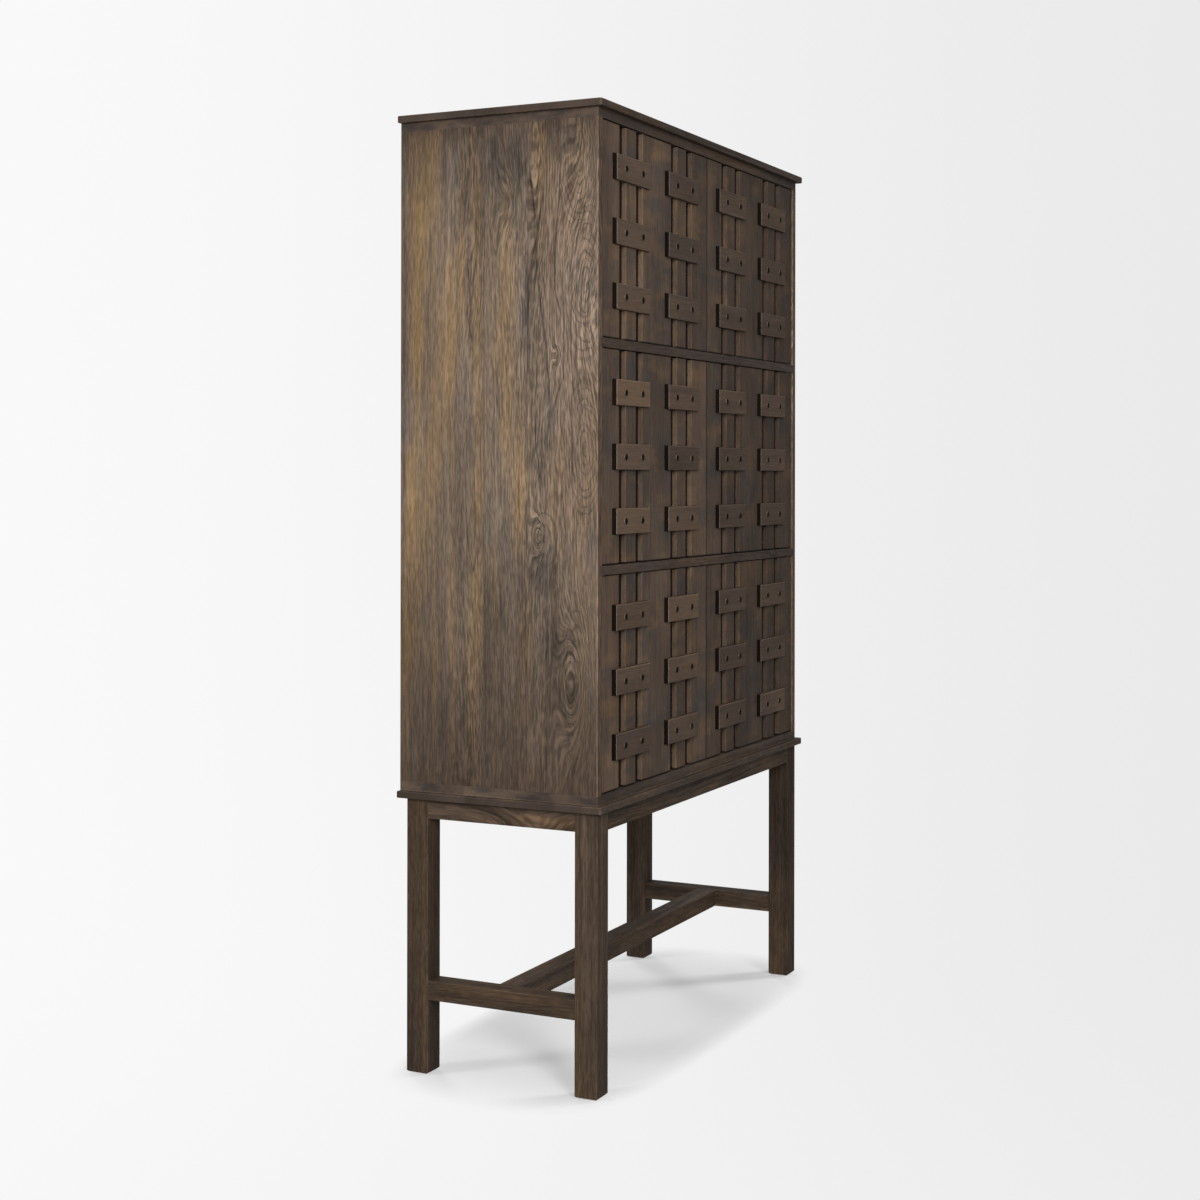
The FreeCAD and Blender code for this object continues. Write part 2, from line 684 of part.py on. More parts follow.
def make_back():
    back = new_body("back_panel")
    outline = new_sketch(back, "XZ")
    rectangle(outline, "-back_width / 2", "back_play - back_rebate", "back_width", "back_height")
    pad(back, outline, "back_thick")
    through = new_sketch(back, "XZ")
    heads = new_sketch(back, "XZ")
    screws = []
    for sign in SIDES.values():
        x = f"{sign} * (inside_half + back_rebate / 2)"
        for number in range(BACK_SCREW_COUNT):
            circle(through, x, back_screw_z(number), "back_screw_diameter / 2 + screw_gap")
            circle(heads, x, back_screw_z(number), "back_screw_head / 2 + screw_gap")
            z = f"first_tier + {back_screw_z(number)}"
            screws.append(cylinder(
                "back_shank", "back_screw_diameter / 2", "back_thick + back_screw_grip",
                x, "case_back", z, TOWARDS_FRONT))
            screws.append(cylinder(
                "back_head", "back_screw_head / 2", "back_screw_head_tall",
                x, "case_back", z, TOWARDS_FRONT))
    pocket(back, through, "back_thick + cut_overrun", along_normal=True)
    pocket(back, heads, "back_screw_head_tall", along_normal=True)
    place(back, "0", "case_back", "first_tier")
    return [back, group("back_screws", screws)]


# Case fixings: dowels in the ends of the sides, and screws into the two slabs


def make_case_fixings():
    dowels = []
    for sign in SIDES.values():
        x = f"{sign} * (case_half - board_thick / 2)"
        for number in range(DOWEL_COUNT):
            y = f"case_front + {dowel_y(number)}"
            for start in ("first_tier - dowel_in_board",
                          "first_tier + side_height - dowel_in_side"):
                dowels.append(cylinder(
                    "dowel", "dowel_diameter / 2", "dowel_in_board + dowel_in_side", x, y, start))
    screws = []
    reach = "board_thick + screw_grip"
    for x, y in case_screw_places():
        world_y = f"case_front + {y}"
        screws.append(cylinder("floor_shank", "screw_radius", reach, x, world_y,
                               "first_tier - board_thick - screw_grip"))
        screws.append(cylinder("floor_head", "screw_head_diameter / 2", "screw_head_tall",
                               x, world_y, "first_tier - screw_head_tall"))
        screws.append(cylinder("top_shank", "screw_radius", reach, x, world_y,
                               "case_crown - board_thick"))
        screws.append(cylinder("top_head", "screw_head_diameter / 2", "screw_head_tall",
                               x, world_y, "case_crown - board_thick"))
    return [group("case_dowels", dowels), group("case_screws", screws)]


# Pivot bushes let into the boards, and magnetic catches under them


def tier_z(tier):
    """Height of the lowest point inside a tier."""
    return f"(first_tier + {TIERS[tier]} * tier_step)"


def make_bushes():
    outsides = []
    bores = []
    for tier in TIERS:
        starts = (f"{tier_z(tier)} - bush_long", f"{tier_z(tier)} + tier_height")
        for sign in SIDES.values():
            x = f"{sign} * pivot_x"
            for z in starts:
                outsides.append(cylinder(
                    "bush_outside", "bush_diameter / 2", "bush_long",
                    x, "case_front + pivot_y", z))
                bores.append(cylinder(
                    "bush_bore", "pivot_diameter / 2 + pivot_running_gap",
                    "bush_long + 2 * cut_overrun", x, "case_front + pivot_y",
                    f"{z} - cut_overrun"))
    return [less("pivot_bushes", group("bush_blanks", outsides), group("bush_bores", bores))]


def make_catches():
    shells = []
    recesses = []
    magnets = []
    front_y = "door_back + catch_gap"
    for tier in TIERS:
        low_z = f"{tier_z(tier)} + tier_height - catch_tall"
        for sign in SIDES.values():
            left = f"{sign} * catch_x - catch_long / 2"
            shells.append(block("catch_shell", "catch_long", "catch_deep", "catch_tall",
                                left, front_y, low_z))
            magnet_place = (f"{left} + magnet_border", front_y, f"{low_z} + magnet_border")
            recesses.append(block("catch_recess", "magnet_long", "magnet_deep", "magnet_tall",
                                  *magnet_place))
            magnets.append(block("magnet", "magnet_long", "magnet_deep", "magnet_tall",
                                 *magnet_place))
    shells = less("catch_bodies", group("catch_shells", shells), group("catch_recesses", recesses))
    return [shells, group("catch_magnets", magnets)]


# Doors: a solid panel with four upright grooves, six blocks that bridge them, and pegs


def groove_places():
    """Middle of each groove, from the middle of the door."""
    return [f"({column} * column_spacing / 2 + {hand} * groove_spacing / 2)"
            for column in (-1, 1) for hand in (-1, 1)]


def block_places():
    """Middle of each block, across and up the door."""
    return [(f"{column} * column_spacing / 2", f"(door_height / 2 + {row} * block_spacing)")
            for column in (-1, 1) for row in (-1, 0, 1)]


def peg_circles(sketch, radius):
    for x in groove_places():
        for row in (-1, 0, 1):
            circle(sketch, x, f"(door_height / 2 + {row} * block_spacing)", radius)


def place_on_door(thing, tier, sign):
    place(thing, f"{sign} * door_middle_x", "door_back", f"{tier_z(tier)} + door_gap")


def make_door_panel(name, tier, sign):
    door = new_body(name)
    outline = new_sketch(door, "XZ")
    rectangle(outline, "-door_width / 2", "0", "door_width", "door_height")
    plank = pad(door, outline, "door_thick")
    face_y = -size("door_thick")

    grooves = new_sketch(door, "XZ", "door_thick")
    for x in groove_places():
        rectangle(grooves, f"{x} - groove_width / 2", "-cut_overrun",
                  "groove_width", "door_height + 2 * cut_overrun")
    grooved = pocket(door, grooves, "groove_depth")
    face_y = -size("door_thick")
    half = size("door_width") / 2
    eased = dress(
        door, "Chamfer", grooved,
        lambda box: same(box.YMin, face_y) and same(box.YMax, face_y)
        and box.XLength < SAME_PLACE and not same(abs(box.XMin), half), "groove_arris")
    assert len(eased.Base[1]) == 2 * len(groove_places())
    rounded = dress(
        door, "Fillet", eased,
        lambda box: same(box.YMin, face_y) and same(box.YMax, face_y)
        and box.XLength < SAME_PLACE and same(abs(box.XMin), half), "door_arris")
    assert len(rounded.Base[1]) == 2

    pockets = new_sketch(door, "XZ", "door_thick")
    for x, z in block_places():
        middle_rectangle(pockets, x, z, "block_long + 2 * pocket_end_room",
                         "block_tall + 2 * pocket_play")
    pocket(door, pockets, "pocket_depth")
    seats = new_sketch(door, "XZ", "door_thick")
    peg_circles(seats, "peg_diameter / 2 + joint_gap")
    pocket(door, seats, "groove_depth + peg_seat")

    pivot_place = (f"{sign} * (door_width / 2 - pivot_inset)", "pivot_setback - door_thick")
    for height, upwards in (("0", True), ("door_height", False)):
        bore = new_sketch(door, "XY", height)
        circle(bore, *pivot_place, "pivot_diameter / 2 + joint_gap")
        pocket(door, bore, "pivot_in_door + tenon_end_gap", along_normal=upwards)
    recess = new_sketch(door, "XZ")
    rectangle(recess, f"{sign} * (catch_x - door_middle_x) - catch_long / 2",
              "door_height + door_gap - catch_tall", "catch_long", "catch_tall - door_gap")
    pocket(door, recess, "strike_thick", along_normal=True)
    place_on_door(door, tier, sign)
    return door


def make_door_blocks(name, tier, sign):
    blocks = new_body(name)
    faces = new_sketch(blocks, "XZ", "door_thick - pocket_depth")
    for x, z in block_places():
        middle_rectangle(faces, x, z, "block_long", "block_tall")
    stock = pad(blocks, faces, "pocket_depth + block_proud")
    face_y = -size("door_thick") - size("block_proud")
    rounded = dress(
        blocks, "Fillet", stock, lambda box: same(box.YMin, face_y) and same(box.YMax, face_y),
        "block_arris")
    assert len(rounded.Base[1]) == 4 * len(block_places())
    holes = new_sketch(blocks, "XZ", "door_thick + block_proud")
    peg_circles(holes, "peg_diameter / 2 + joint_gap")
    pocket(blocks, holes, "pocket_depth + block_proud + cut_overrun")
    place_on_door(blocks, tier, sign)
    return blocks


def make_door_pegs(name, tier, sign):
    pegs = new_body(name)
    ends = new_sketch(pegs, "XZ", "door_thick - groove_depth - peg_seat")
    peg_circles(ends, "peg_diameter / 2")
    rods = pad(pegs, ends, "groove_depth + peg_seat + block_proud + peg_proud")
    head_y = -size("door_thick") - size("block_proud") - size("peg_proud")
    domed = dress(
        pegs, "Fillet", rods, lambda box: same(box.YMin, head_y) and same(box.YMax, head_y),
        "peg_dome")
    assert len(domed.Base[1]) == 3 * len(groove_places())
    place_on_door(pegs, tier, sign)
    return pegs


def make_door_pivots(name, tier, sign):
    """A pin and collar in the foot and in the head of the door."""
    x = f"{sign} * pivot_x"
    y = "case_front + pivot_y"
    foot_z = f"{tier_z(tier)} + door_gap"
    head_z = f"{foot_z} + door_height"
    pin_long = "pivot_in_door + door_gap + pivot_in_bush"
    things = [
        cylinder("foot_pin", "pivot_diameter / 2", pin_long, x, y,
                 f"{foot_z} - door_gap - pivot_in_bush"),
        cylinder("foot_collar", "collar_diameter / 2", "collar_thick", x, y,
                 f"{foot_z} - collar_thick"),
        cylinder("head_pin", "pivot_diameter / 2", pin_long, x, y,
                 f"{head_z} - pivot_in_door"),
        cylinder("head_collar", "collar_diameter / 2", "collar_thick", x, y, head_z),
    ]
    return group(name, things)


def make_door_strike(name, tier, sign):
    return block(
        name, "catch_long", "strike_thick", "catch_tall - door_gap",
        f"{sign} * catch_x - catch_long / 2", "door_back - strike_thick",
        f"{tier_z(tier)} + tier_height - catch_tall")


def make_doors():
    nodes = []
    for tier in TIERS:
        for side, sign in SIDES.items():
            stem = f"door_{tier}_{side}"
            nodes.append(make_door_panel(f"{stem}_panel", tier, sign))
            nodes.append(make_door_blocks(f"{stem}_blocks", tier, sign))
            nodes.append(make_door_pegs(f"{stem}_pegs", tier, sign))
            nodes.append(make_door_pivots(f"{stem}_pivots", tier, sign))
            nodes.append(make_door_strike(f"{stem}_strike", tier, sign))
    return nodes


# Everything together, checked, then written

nodes = [make_leg(side, row) for row in ROWS for side in SIDES]
nodes += make_aprons()
nodes += make_stretchers()
nodes += make_corner_blocks()
nodes += make_glides()
nodes.append(make_slab("bottom_slab", "stand_height", True))
nodes.append(make_slab("top_slab", "case_crown", False))
nodes.append(make_case_board("case_floor", False))
nodes.append(make_case_board("case_top", True))
nodes += [make_side(side) for side in SIDES]
nodes.append(make_divider("divider_lower", 1))
nodes.append(make_divider("divider_upper", 2))
nodes += make_back()
nodes += make_case_fixings()
nodes += make_bushes()
nodes += make_catches()
nodes += make_doors()
doc.recompute()

for thing in doc.Objects:
    if {"Invalid", "Error"} & set(thing.State):
        raise RuntimeError(f"{thing.Label} did not build: {thing.State}")
for cut in cuts:
    if cut.BaseFeature.Shape.Volume - cut.Shape.Volume < SAME_PLACE:
        raise RuntimeError(f"{cut.Label} cuts nothing")
os.makedirs("parts", exist_ok=True)
for node in nodes:
    if node.Shape.isNull() or not node.Shape.isValid():
        raise RuntimeError(f"{node.Label} has no sound shape")
for node in nodes:
    node.Shape.exportStep(f"parts/{node.Label}.step")
print(len(nodes), "sub-parts written")
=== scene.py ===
import json
import math
import random
import bmesh
import bpy
from mathutils import Matrix, Vector

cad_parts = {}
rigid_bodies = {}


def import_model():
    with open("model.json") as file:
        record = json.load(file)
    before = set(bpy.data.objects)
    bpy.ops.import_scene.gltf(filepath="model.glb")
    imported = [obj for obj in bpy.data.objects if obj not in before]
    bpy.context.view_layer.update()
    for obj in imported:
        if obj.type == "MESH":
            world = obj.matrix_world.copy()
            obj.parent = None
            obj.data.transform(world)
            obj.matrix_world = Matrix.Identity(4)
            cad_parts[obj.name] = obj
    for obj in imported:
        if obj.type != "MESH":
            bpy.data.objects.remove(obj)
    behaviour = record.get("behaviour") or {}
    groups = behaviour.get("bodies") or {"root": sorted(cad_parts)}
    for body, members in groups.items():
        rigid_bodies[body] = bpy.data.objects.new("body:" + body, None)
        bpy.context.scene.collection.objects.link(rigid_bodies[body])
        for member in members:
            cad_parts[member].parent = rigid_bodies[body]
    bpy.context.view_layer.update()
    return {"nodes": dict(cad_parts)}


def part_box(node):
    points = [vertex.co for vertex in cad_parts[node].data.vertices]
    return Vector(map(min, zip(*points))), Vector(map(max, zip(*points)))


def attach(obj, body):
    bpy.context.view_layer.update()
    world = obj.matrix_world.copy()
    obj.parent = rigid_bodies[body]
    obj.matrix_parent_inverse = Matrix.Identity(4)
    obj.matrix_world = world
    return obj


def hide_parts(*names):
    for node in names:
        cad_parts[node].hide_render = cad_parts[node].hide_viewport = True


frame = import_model()

# Where the cabinet stands. A pale floor runs far past the cabinet and sweeps up into a
# pale wall all round, with no seam, as a photographer's sheet of paper does. The paper
# glows, paler to the left, and only a patch of it round the stand takes shadows.

FLOOR_REACH = 9.0
SWEEP_RADIUS = 4.0
WALL_TOP = 14.0
ROUND_STEPS = 96
SWEEP_STEPS = 16


def turned(name, profile, steps):
    """A round shape from (radius, height) points; a radius of 0 closes it."""
    shape = bmesh.new()
    rings = []
    for radius, height in profile:
        count = steps if radius > 0 else 1
        rings.append([
            shape.verts.new((radius * math.cos(math.tau * i / count),
                             radius * math.sin(math.tau * i / count), height))
            for i in range(count)])
    for lower, upper in zip(rings, rings[1:]):
        for i in range(steps):
            corners = [lower[i % len(lower)], lower[(i + 1) % len(lower)],
                       upper[(i + 1) % len(upper)], upper[i % len(upper)]]
            shape.faces.new(list(dict.fromkeys(corners)))
    mesh = bpy.data.meshes.new(name)
    shape.to_mesh(mesh)
    shape.free()
    mesh.shade_smooth()
    thing = bpy.data.objects.new(name, mesh)
    bpy.context.collection.objects.link(thing)
    return thing


PAPER_LEFT = (0.955, 0.955, 0.955, 1)
PAPER_RIGHT = (0.815, 0.815, 0.815, 1)
PAPER_SHADE = (0.30, 0.30, 0.30, 1)
NO_SHADE = (0.0, 0.0, 0.0, 1)
NEAR_GLOW = 0.10
# The shade fills a squared oval round the stand and fades out past it.
SHADE_REACH_X = 0.58
SHADE_REACH_Y = 0.25
SHADE_SQUARENESS = 4
SHADE_FULL = 0.20
SHADE_GONE = 1.9
# The paper darkens to the right as the camera sees it, over a breadth that fans outwards.
TINT_X = 0.44
TINT_Y = 0.90
TINT_NEAR = 1.2
TINT_FAN = 0.35
TINT_REACH = 1.2
PAPER_DULL = 0.9


def join(tree, value, socket):
    """Set a socket to a number or a colour, or join it to another step."""
    if isinstance(value, bpy.types.NodeSocket):
        tree.links.new(value, socket)
    else:
        socket.default_value = value


def reckon(tree, how, *values):
    """One step of arithmetic, such as "MULTIPLY"."""
    step = tree.nodes.new("ShaderNodeMath")
    step.operation = how
    for value, socket in zip(values, step.inputs):
        join(tree, value, socket)
    return step.outputs[0]


def times(tree, value, factor):
    """A value times another, or times a number."""
    return reckon(tree, "MULTIPLY", value, factor)


def ease(tree, value, low, high, start=0.0, end=1.0):
    """Start where value is low, end where it is high, and smooth between."""
    step = tree.nodes.new("ShaderNodeMapRange")
    step.interpolation_type = "SMOOTHSTEP"
    for number, socket in zip((value, low, high, start, end), step.inputs):
        join(tree, number, socket)
    return step.outputs[0]


def mixed(tree, share, first, second, how="MIX"):
    """Two colours mixed by a share from 0 to 1."""
    step = tree.nodes.new("ShaderNodeMix")
    step.data_type = "RGBA"
    step.blend_type = how
    for value, socket in zip((share, first, second),
                             (step.inputs[0], step.inputs[6], step.inputs[7])):
        join(tree, value, socket)
    return step.outputs[2]


def new_finish(name):
    """An empty finish: the material, its steps and its surface."""
    finish = bpy.data.materials.new(name)
    finish.use_nodes = True
    return finish, finish.node_tree, finish.node_tree.nodes["Principled BSDF"]


def object_axes(tree, output="Object"):
    """The three axes of a place on the piece, or of the way its surface faces."""
    source = tree.nodes.new("ShaderNodeTexCoord")
    axes = tree.nodes.new("ShaderNodeSeparateXYZ")
    tree.links.new(source.outputs[output], axes.inputs[0])
    return dict(zip("XYZ", axes.outputs))


paper, tree, surface = new_finish("pale_paper")
axes = object_axes(tree)
rightward = reckon(tree, "SUBTRACT", times(tree, axes["X"], TINT_X),
                   times(tree, axes["Y"], TINT_Y))
outward = reckon(tree, "SQRT", reckon(tree, "MULTIPLY_ADD", axes["X"], axes["X"],
                                      times(tree, axes["Y"], axes["Y"])))
rightward = reckon(tree, "DIVIDE", rightward,
                   reckon(tree, "MULTIPLY_ADD", outward, TINT_FAN, TINT_NEAR))
tint = mixed(tree, ease(tree, rightward, -TINT_REACH, TINT_REACH), PAPER_LEFT, PAPER_RIGHT)
aside, deep = [
    reckon(tree, "POWER", reckon(tree, "ABSOLUTE", reckon(tree, "DIVIDE", axes[letter], reach)),
           SHADE_SQUARENESS)
    for letter, reach in (("X", SHADE_REACH_X), ("Y", SHADE_REACH_Y))]
from_stand = reckon(tree, "ADD", aside, deep)
far = ease(tree, from_stand, SHADE_FULL, SHADE_GONE)
near = mixed(tree, 1.0, tint, PAPER_SHADE, "MULTIPLY")
join(tree, mixed(tree, far, near, NO_SHADE), surface.inputs["Base Color"])
join(tree, tint, surface.inputs["Emission Color"])
join(tree, ease(tree, from_stand, SHADE_FULL, SHADE_GONE, NEAR_GLOW, 1.0),
     surface.inputs["Emission Strength"])
surface.inputs["Roughness"].default_value = PAPER_DULL
surface.inputs["Specular IOR Level"].default_value = 0.0

floor = turned("floor", [(0, 0), (FLOOR_REACH, 0)], ROUND_STEPS)
sweep = [(FLOOR_REACH + SWEEP_RADIUS * math.sin(step * math.pi / 2 / SWEEP_STEPS),
          SWEEP_RADIUS * (1 - math.cos(step * math.pi / 2 / SWEEP_STEPS)))
         for step in range(SWEEP_STEPS + 1)]
wall = turned("wall", sweep + [(FLOOR_REACH + SWEEP_RADIUS, WALL_TOP)], ROUND_STEPS)
backdrop = bpy.data.collections.new("backdrop")
for sheet in (floor, wall):
    backdrop.objects.link(sheet)
    sheet.data.materials.append(paper)
    sheet.visible_diffuse = False
    sheet.visible_glossy = False
    sheet.visible_shadow = False

# The light. The room glows softly, and more from the left. One large soft lamp stands to
# the left, only just in front of the doors, so that it skims them. Four low, soft lamps,
# one from each corner, light only the paper, for the short soft shadows under the stand.

ROOM_BELOW = (0.30, 0.30, 0.30, 1)
ROOM_LEVEL = (0.42, 0.42, 0.42, 1)
ROOM_ABOVE = (0.80, 0.80, 0.80, 1)
BELOW_TO_LEVEL = (-0.4, 0.1)
LEVEL_TO_ABOVE = (0.1, 0.9)
LEFT_TO_RIGHT = (-0.9, 0.9)
LEFT_SHARE = 1.22
RIGHT_SHARE = 0.75
LAMP_PLACE = (-3.7, -1.75, 2.0)
LAMP_AIM = (-0.3, 0, 1.1)
LAMP_SIZE = 1.4
LAMP_POWER = 110
CORNER_AWAY = 5
CORNER_HIGH = 1.6
CORNER_SOFTNESS = math.radians(16)
CORNER_POWERS = (3.8, 3.8, 6.2, 6.2)

room = bpy.data.worlds.new("soft_room")
room.use_nodes = True
tree = room.node_tree
axes = object_axes(tree, "Generated")
glow = mixed(tree, ease(tree, axes["Z"], *BELOW_TO_LEVEL), ROOM_BELOW, ROOM_LEVEL)
glow = mixed(tree, ease(tree, axes["Z"], *LEVEL_TO_ABOVE), glow, ROOM_ABOVE)
join(tree, glow, tree.nodes["Background"].inputs["Color"])
join(tree, ease(tree, axes["X"], *LEFT_TO_RIGHT, LEFT_SHARE, RIGHT_SHARE),
     tree.nodes["Background"].inputs["Strength"])
bpy.context.scene.world = room


def soft_light(name, kind, place, target, lights_backdrop):
    """A light aimed at a place. It lights either the backdrop or everything else."""
    data = bpy.data.lights.new(name, kind)
    light = bpy.data.objects.new(name, data)
    light.location = place
    light.rotation_euler = (Vector(target) - Vector(place)).to_track_quat("-Z", "Y").to_euler()
    bpy.context.collection.objects.link(light)
    lit = bpy.data.collections.new(f"{name}_lights")
    for sheet in backdrop.objects:
        lit.objects.link(sheet)
    for member in lit.collection_objects:
        member.light_linking.link_state = "INCLUDE" if lights_backdrop else "EXCLUDE"
    light.light_linking.receiver_collection = lit
    return data


lamp = soft_light("lamp_left", "AREA", LAMP_PLACE, LAMP_AIM, False)
lamp.size = LAMP_SIZE
lamp.energy = LAMP_POWER
for corner, power in enumerate(CORNER_POWERS):
    turn = math.pi / 4 + corner * math.pi / 2
    place = (CORNER_AWAY * math.cos(turn), CORNER_AWAY * math.sin(turn), CORNER_HIGH)
    corner_lamp = soft_light(f"paper_corner_{corner}", "SUN", place, (0, 0, 0), True)
    corner_lamp.angle = CORNER_SOFTNESS
    corner_lamp.energy = power

# The viewpoint. A camera a little above the cabinet's middle, to the left of its front,
# held level, with the view slid down so that the uprights stay upright.

EYE_PLACE = (-3.840, -1.826, 1.188)
EYE_TURN = math.radians(25.98 - 90)
EYE_LEAN = math.radians(0.09)
EYE_LENS = 58.26
EYE_SENSOR = 36
EYE_SLIDE = -0.1043

eye = bpy.data.objects.new("viewpoint", bpy.data.cameras.new("viewpoint"))
eye.data.lens = EYE_LENS
eye.data.sensor_width = EYE_SENSOR
eye.data.shift_y = EYE_SLIDE
eye.matrix_world = (Matrix.Translation(EYE_PLACE) @ Matrix.Rotation(EYE_TURN, 4, "Z")
                    @ Matrix.Rotation(math.pi / 2, 4, "X") @ Matrix.Rotation(EYE_LEAN, 4, "Z"))
bpy.context.collection.objects.link(eye)
bpy.context.scene.camera = eye
bpy.context.scene.view_settings.view_transform = "Standard"

# Legs. Four square posts of a dense dark brown hardwood, stained nearly black-brown,
# oiled and rubbed back, so that the arrises show a little lighter. Grain runs upwards,
# and the aprons and stretchers are tenoned into them.

# How often each figure of the grain turns in a metre, across the rings and along the board.
DRIFT = (4.5, 0.9)
WAVER = (50, 9)
BANDS = (50, 0.8)
LINES = (170, 2.5)
FIBRES = (380, 12)
PORES = (340, 45)
PATCHES = (7, 2.5)
WORN = (15, 2)
WAVER_SWAY = 0.004
RING_LEAN = 0.8
NEXT_BOARD = 3.7
KNOT_LIVELY = 0.8
# How squarely a face lies where it starts and ends being a cut end, or a flat face.
CUT_END = (0.85, 0.97)
FLAT_FACE = (0.90, 0.99)
GRAIN_RELIEF = (0.3, 0.0003)


def cloud(tree, x, y, z, detail=2.0, roughness=0.5):
    """A smooth random shade, from 0 to 1, at a place."""
    place = tree.nodes.new("ShaderNodeCombineXYZ")
    for value, socket in zip((x, y, z), place.inputs):
        join(tree, value, socket)
    shade = tree.nodes.new("ShaderNodeTexNoise")
    shade.inputs["Scale"].default_value = 1.0
    shade.inputs["Detail"].default_value = detail
    shade.inputs["Roughness"].default_value = roughness
    tree.links.new(place.outputs[0], shade.inputs["Vector"])
    return shade.outputs["Fac"]


def figure(tree, across, shift, along, turns, *looks):
    """A random shade drawn out along the board, with so many turns in a metre each way."""
    return cloud(tree, times(tree, across, turns[0]), shift, times(tree, along, turns[1]), *looks)


def relieve(tree, surface, height, strength, depth):
    """Relief too fine to be cut in the shape: its strength, and its depth in metres."""
    relief = tree.nodes.new("ShaderNodeBump")
    relief.inputs["Strength"].default_value = strength
    relief.inputs["Distance"].default_value = depth
    join(tree, height, relief.inputs["Height"])
    join(tree, relief.outputs[0], surface.inputs["Normal"])


def hill(tree, across, along, mark):
    """1 at the middle of an oval mark on a board, falling to 0 outside it."""
    at_across, at_along, reach_across, reach_along = mark
    aside = reckon(tree, "DIVIDE", reckon(tree, "SUBTRACT", across, at_across), reach_across)
    above = reckon(tree, "DIVIDE", reckon(tree, "SUBTRACT", along, at_along), reach_along)
    spread = reckon(tree, "MULTIPLY_ADD", aside, aside, times(tree, above, above))
    return reckon(tree, "POWER", math.e, times(tree, spread, -1))


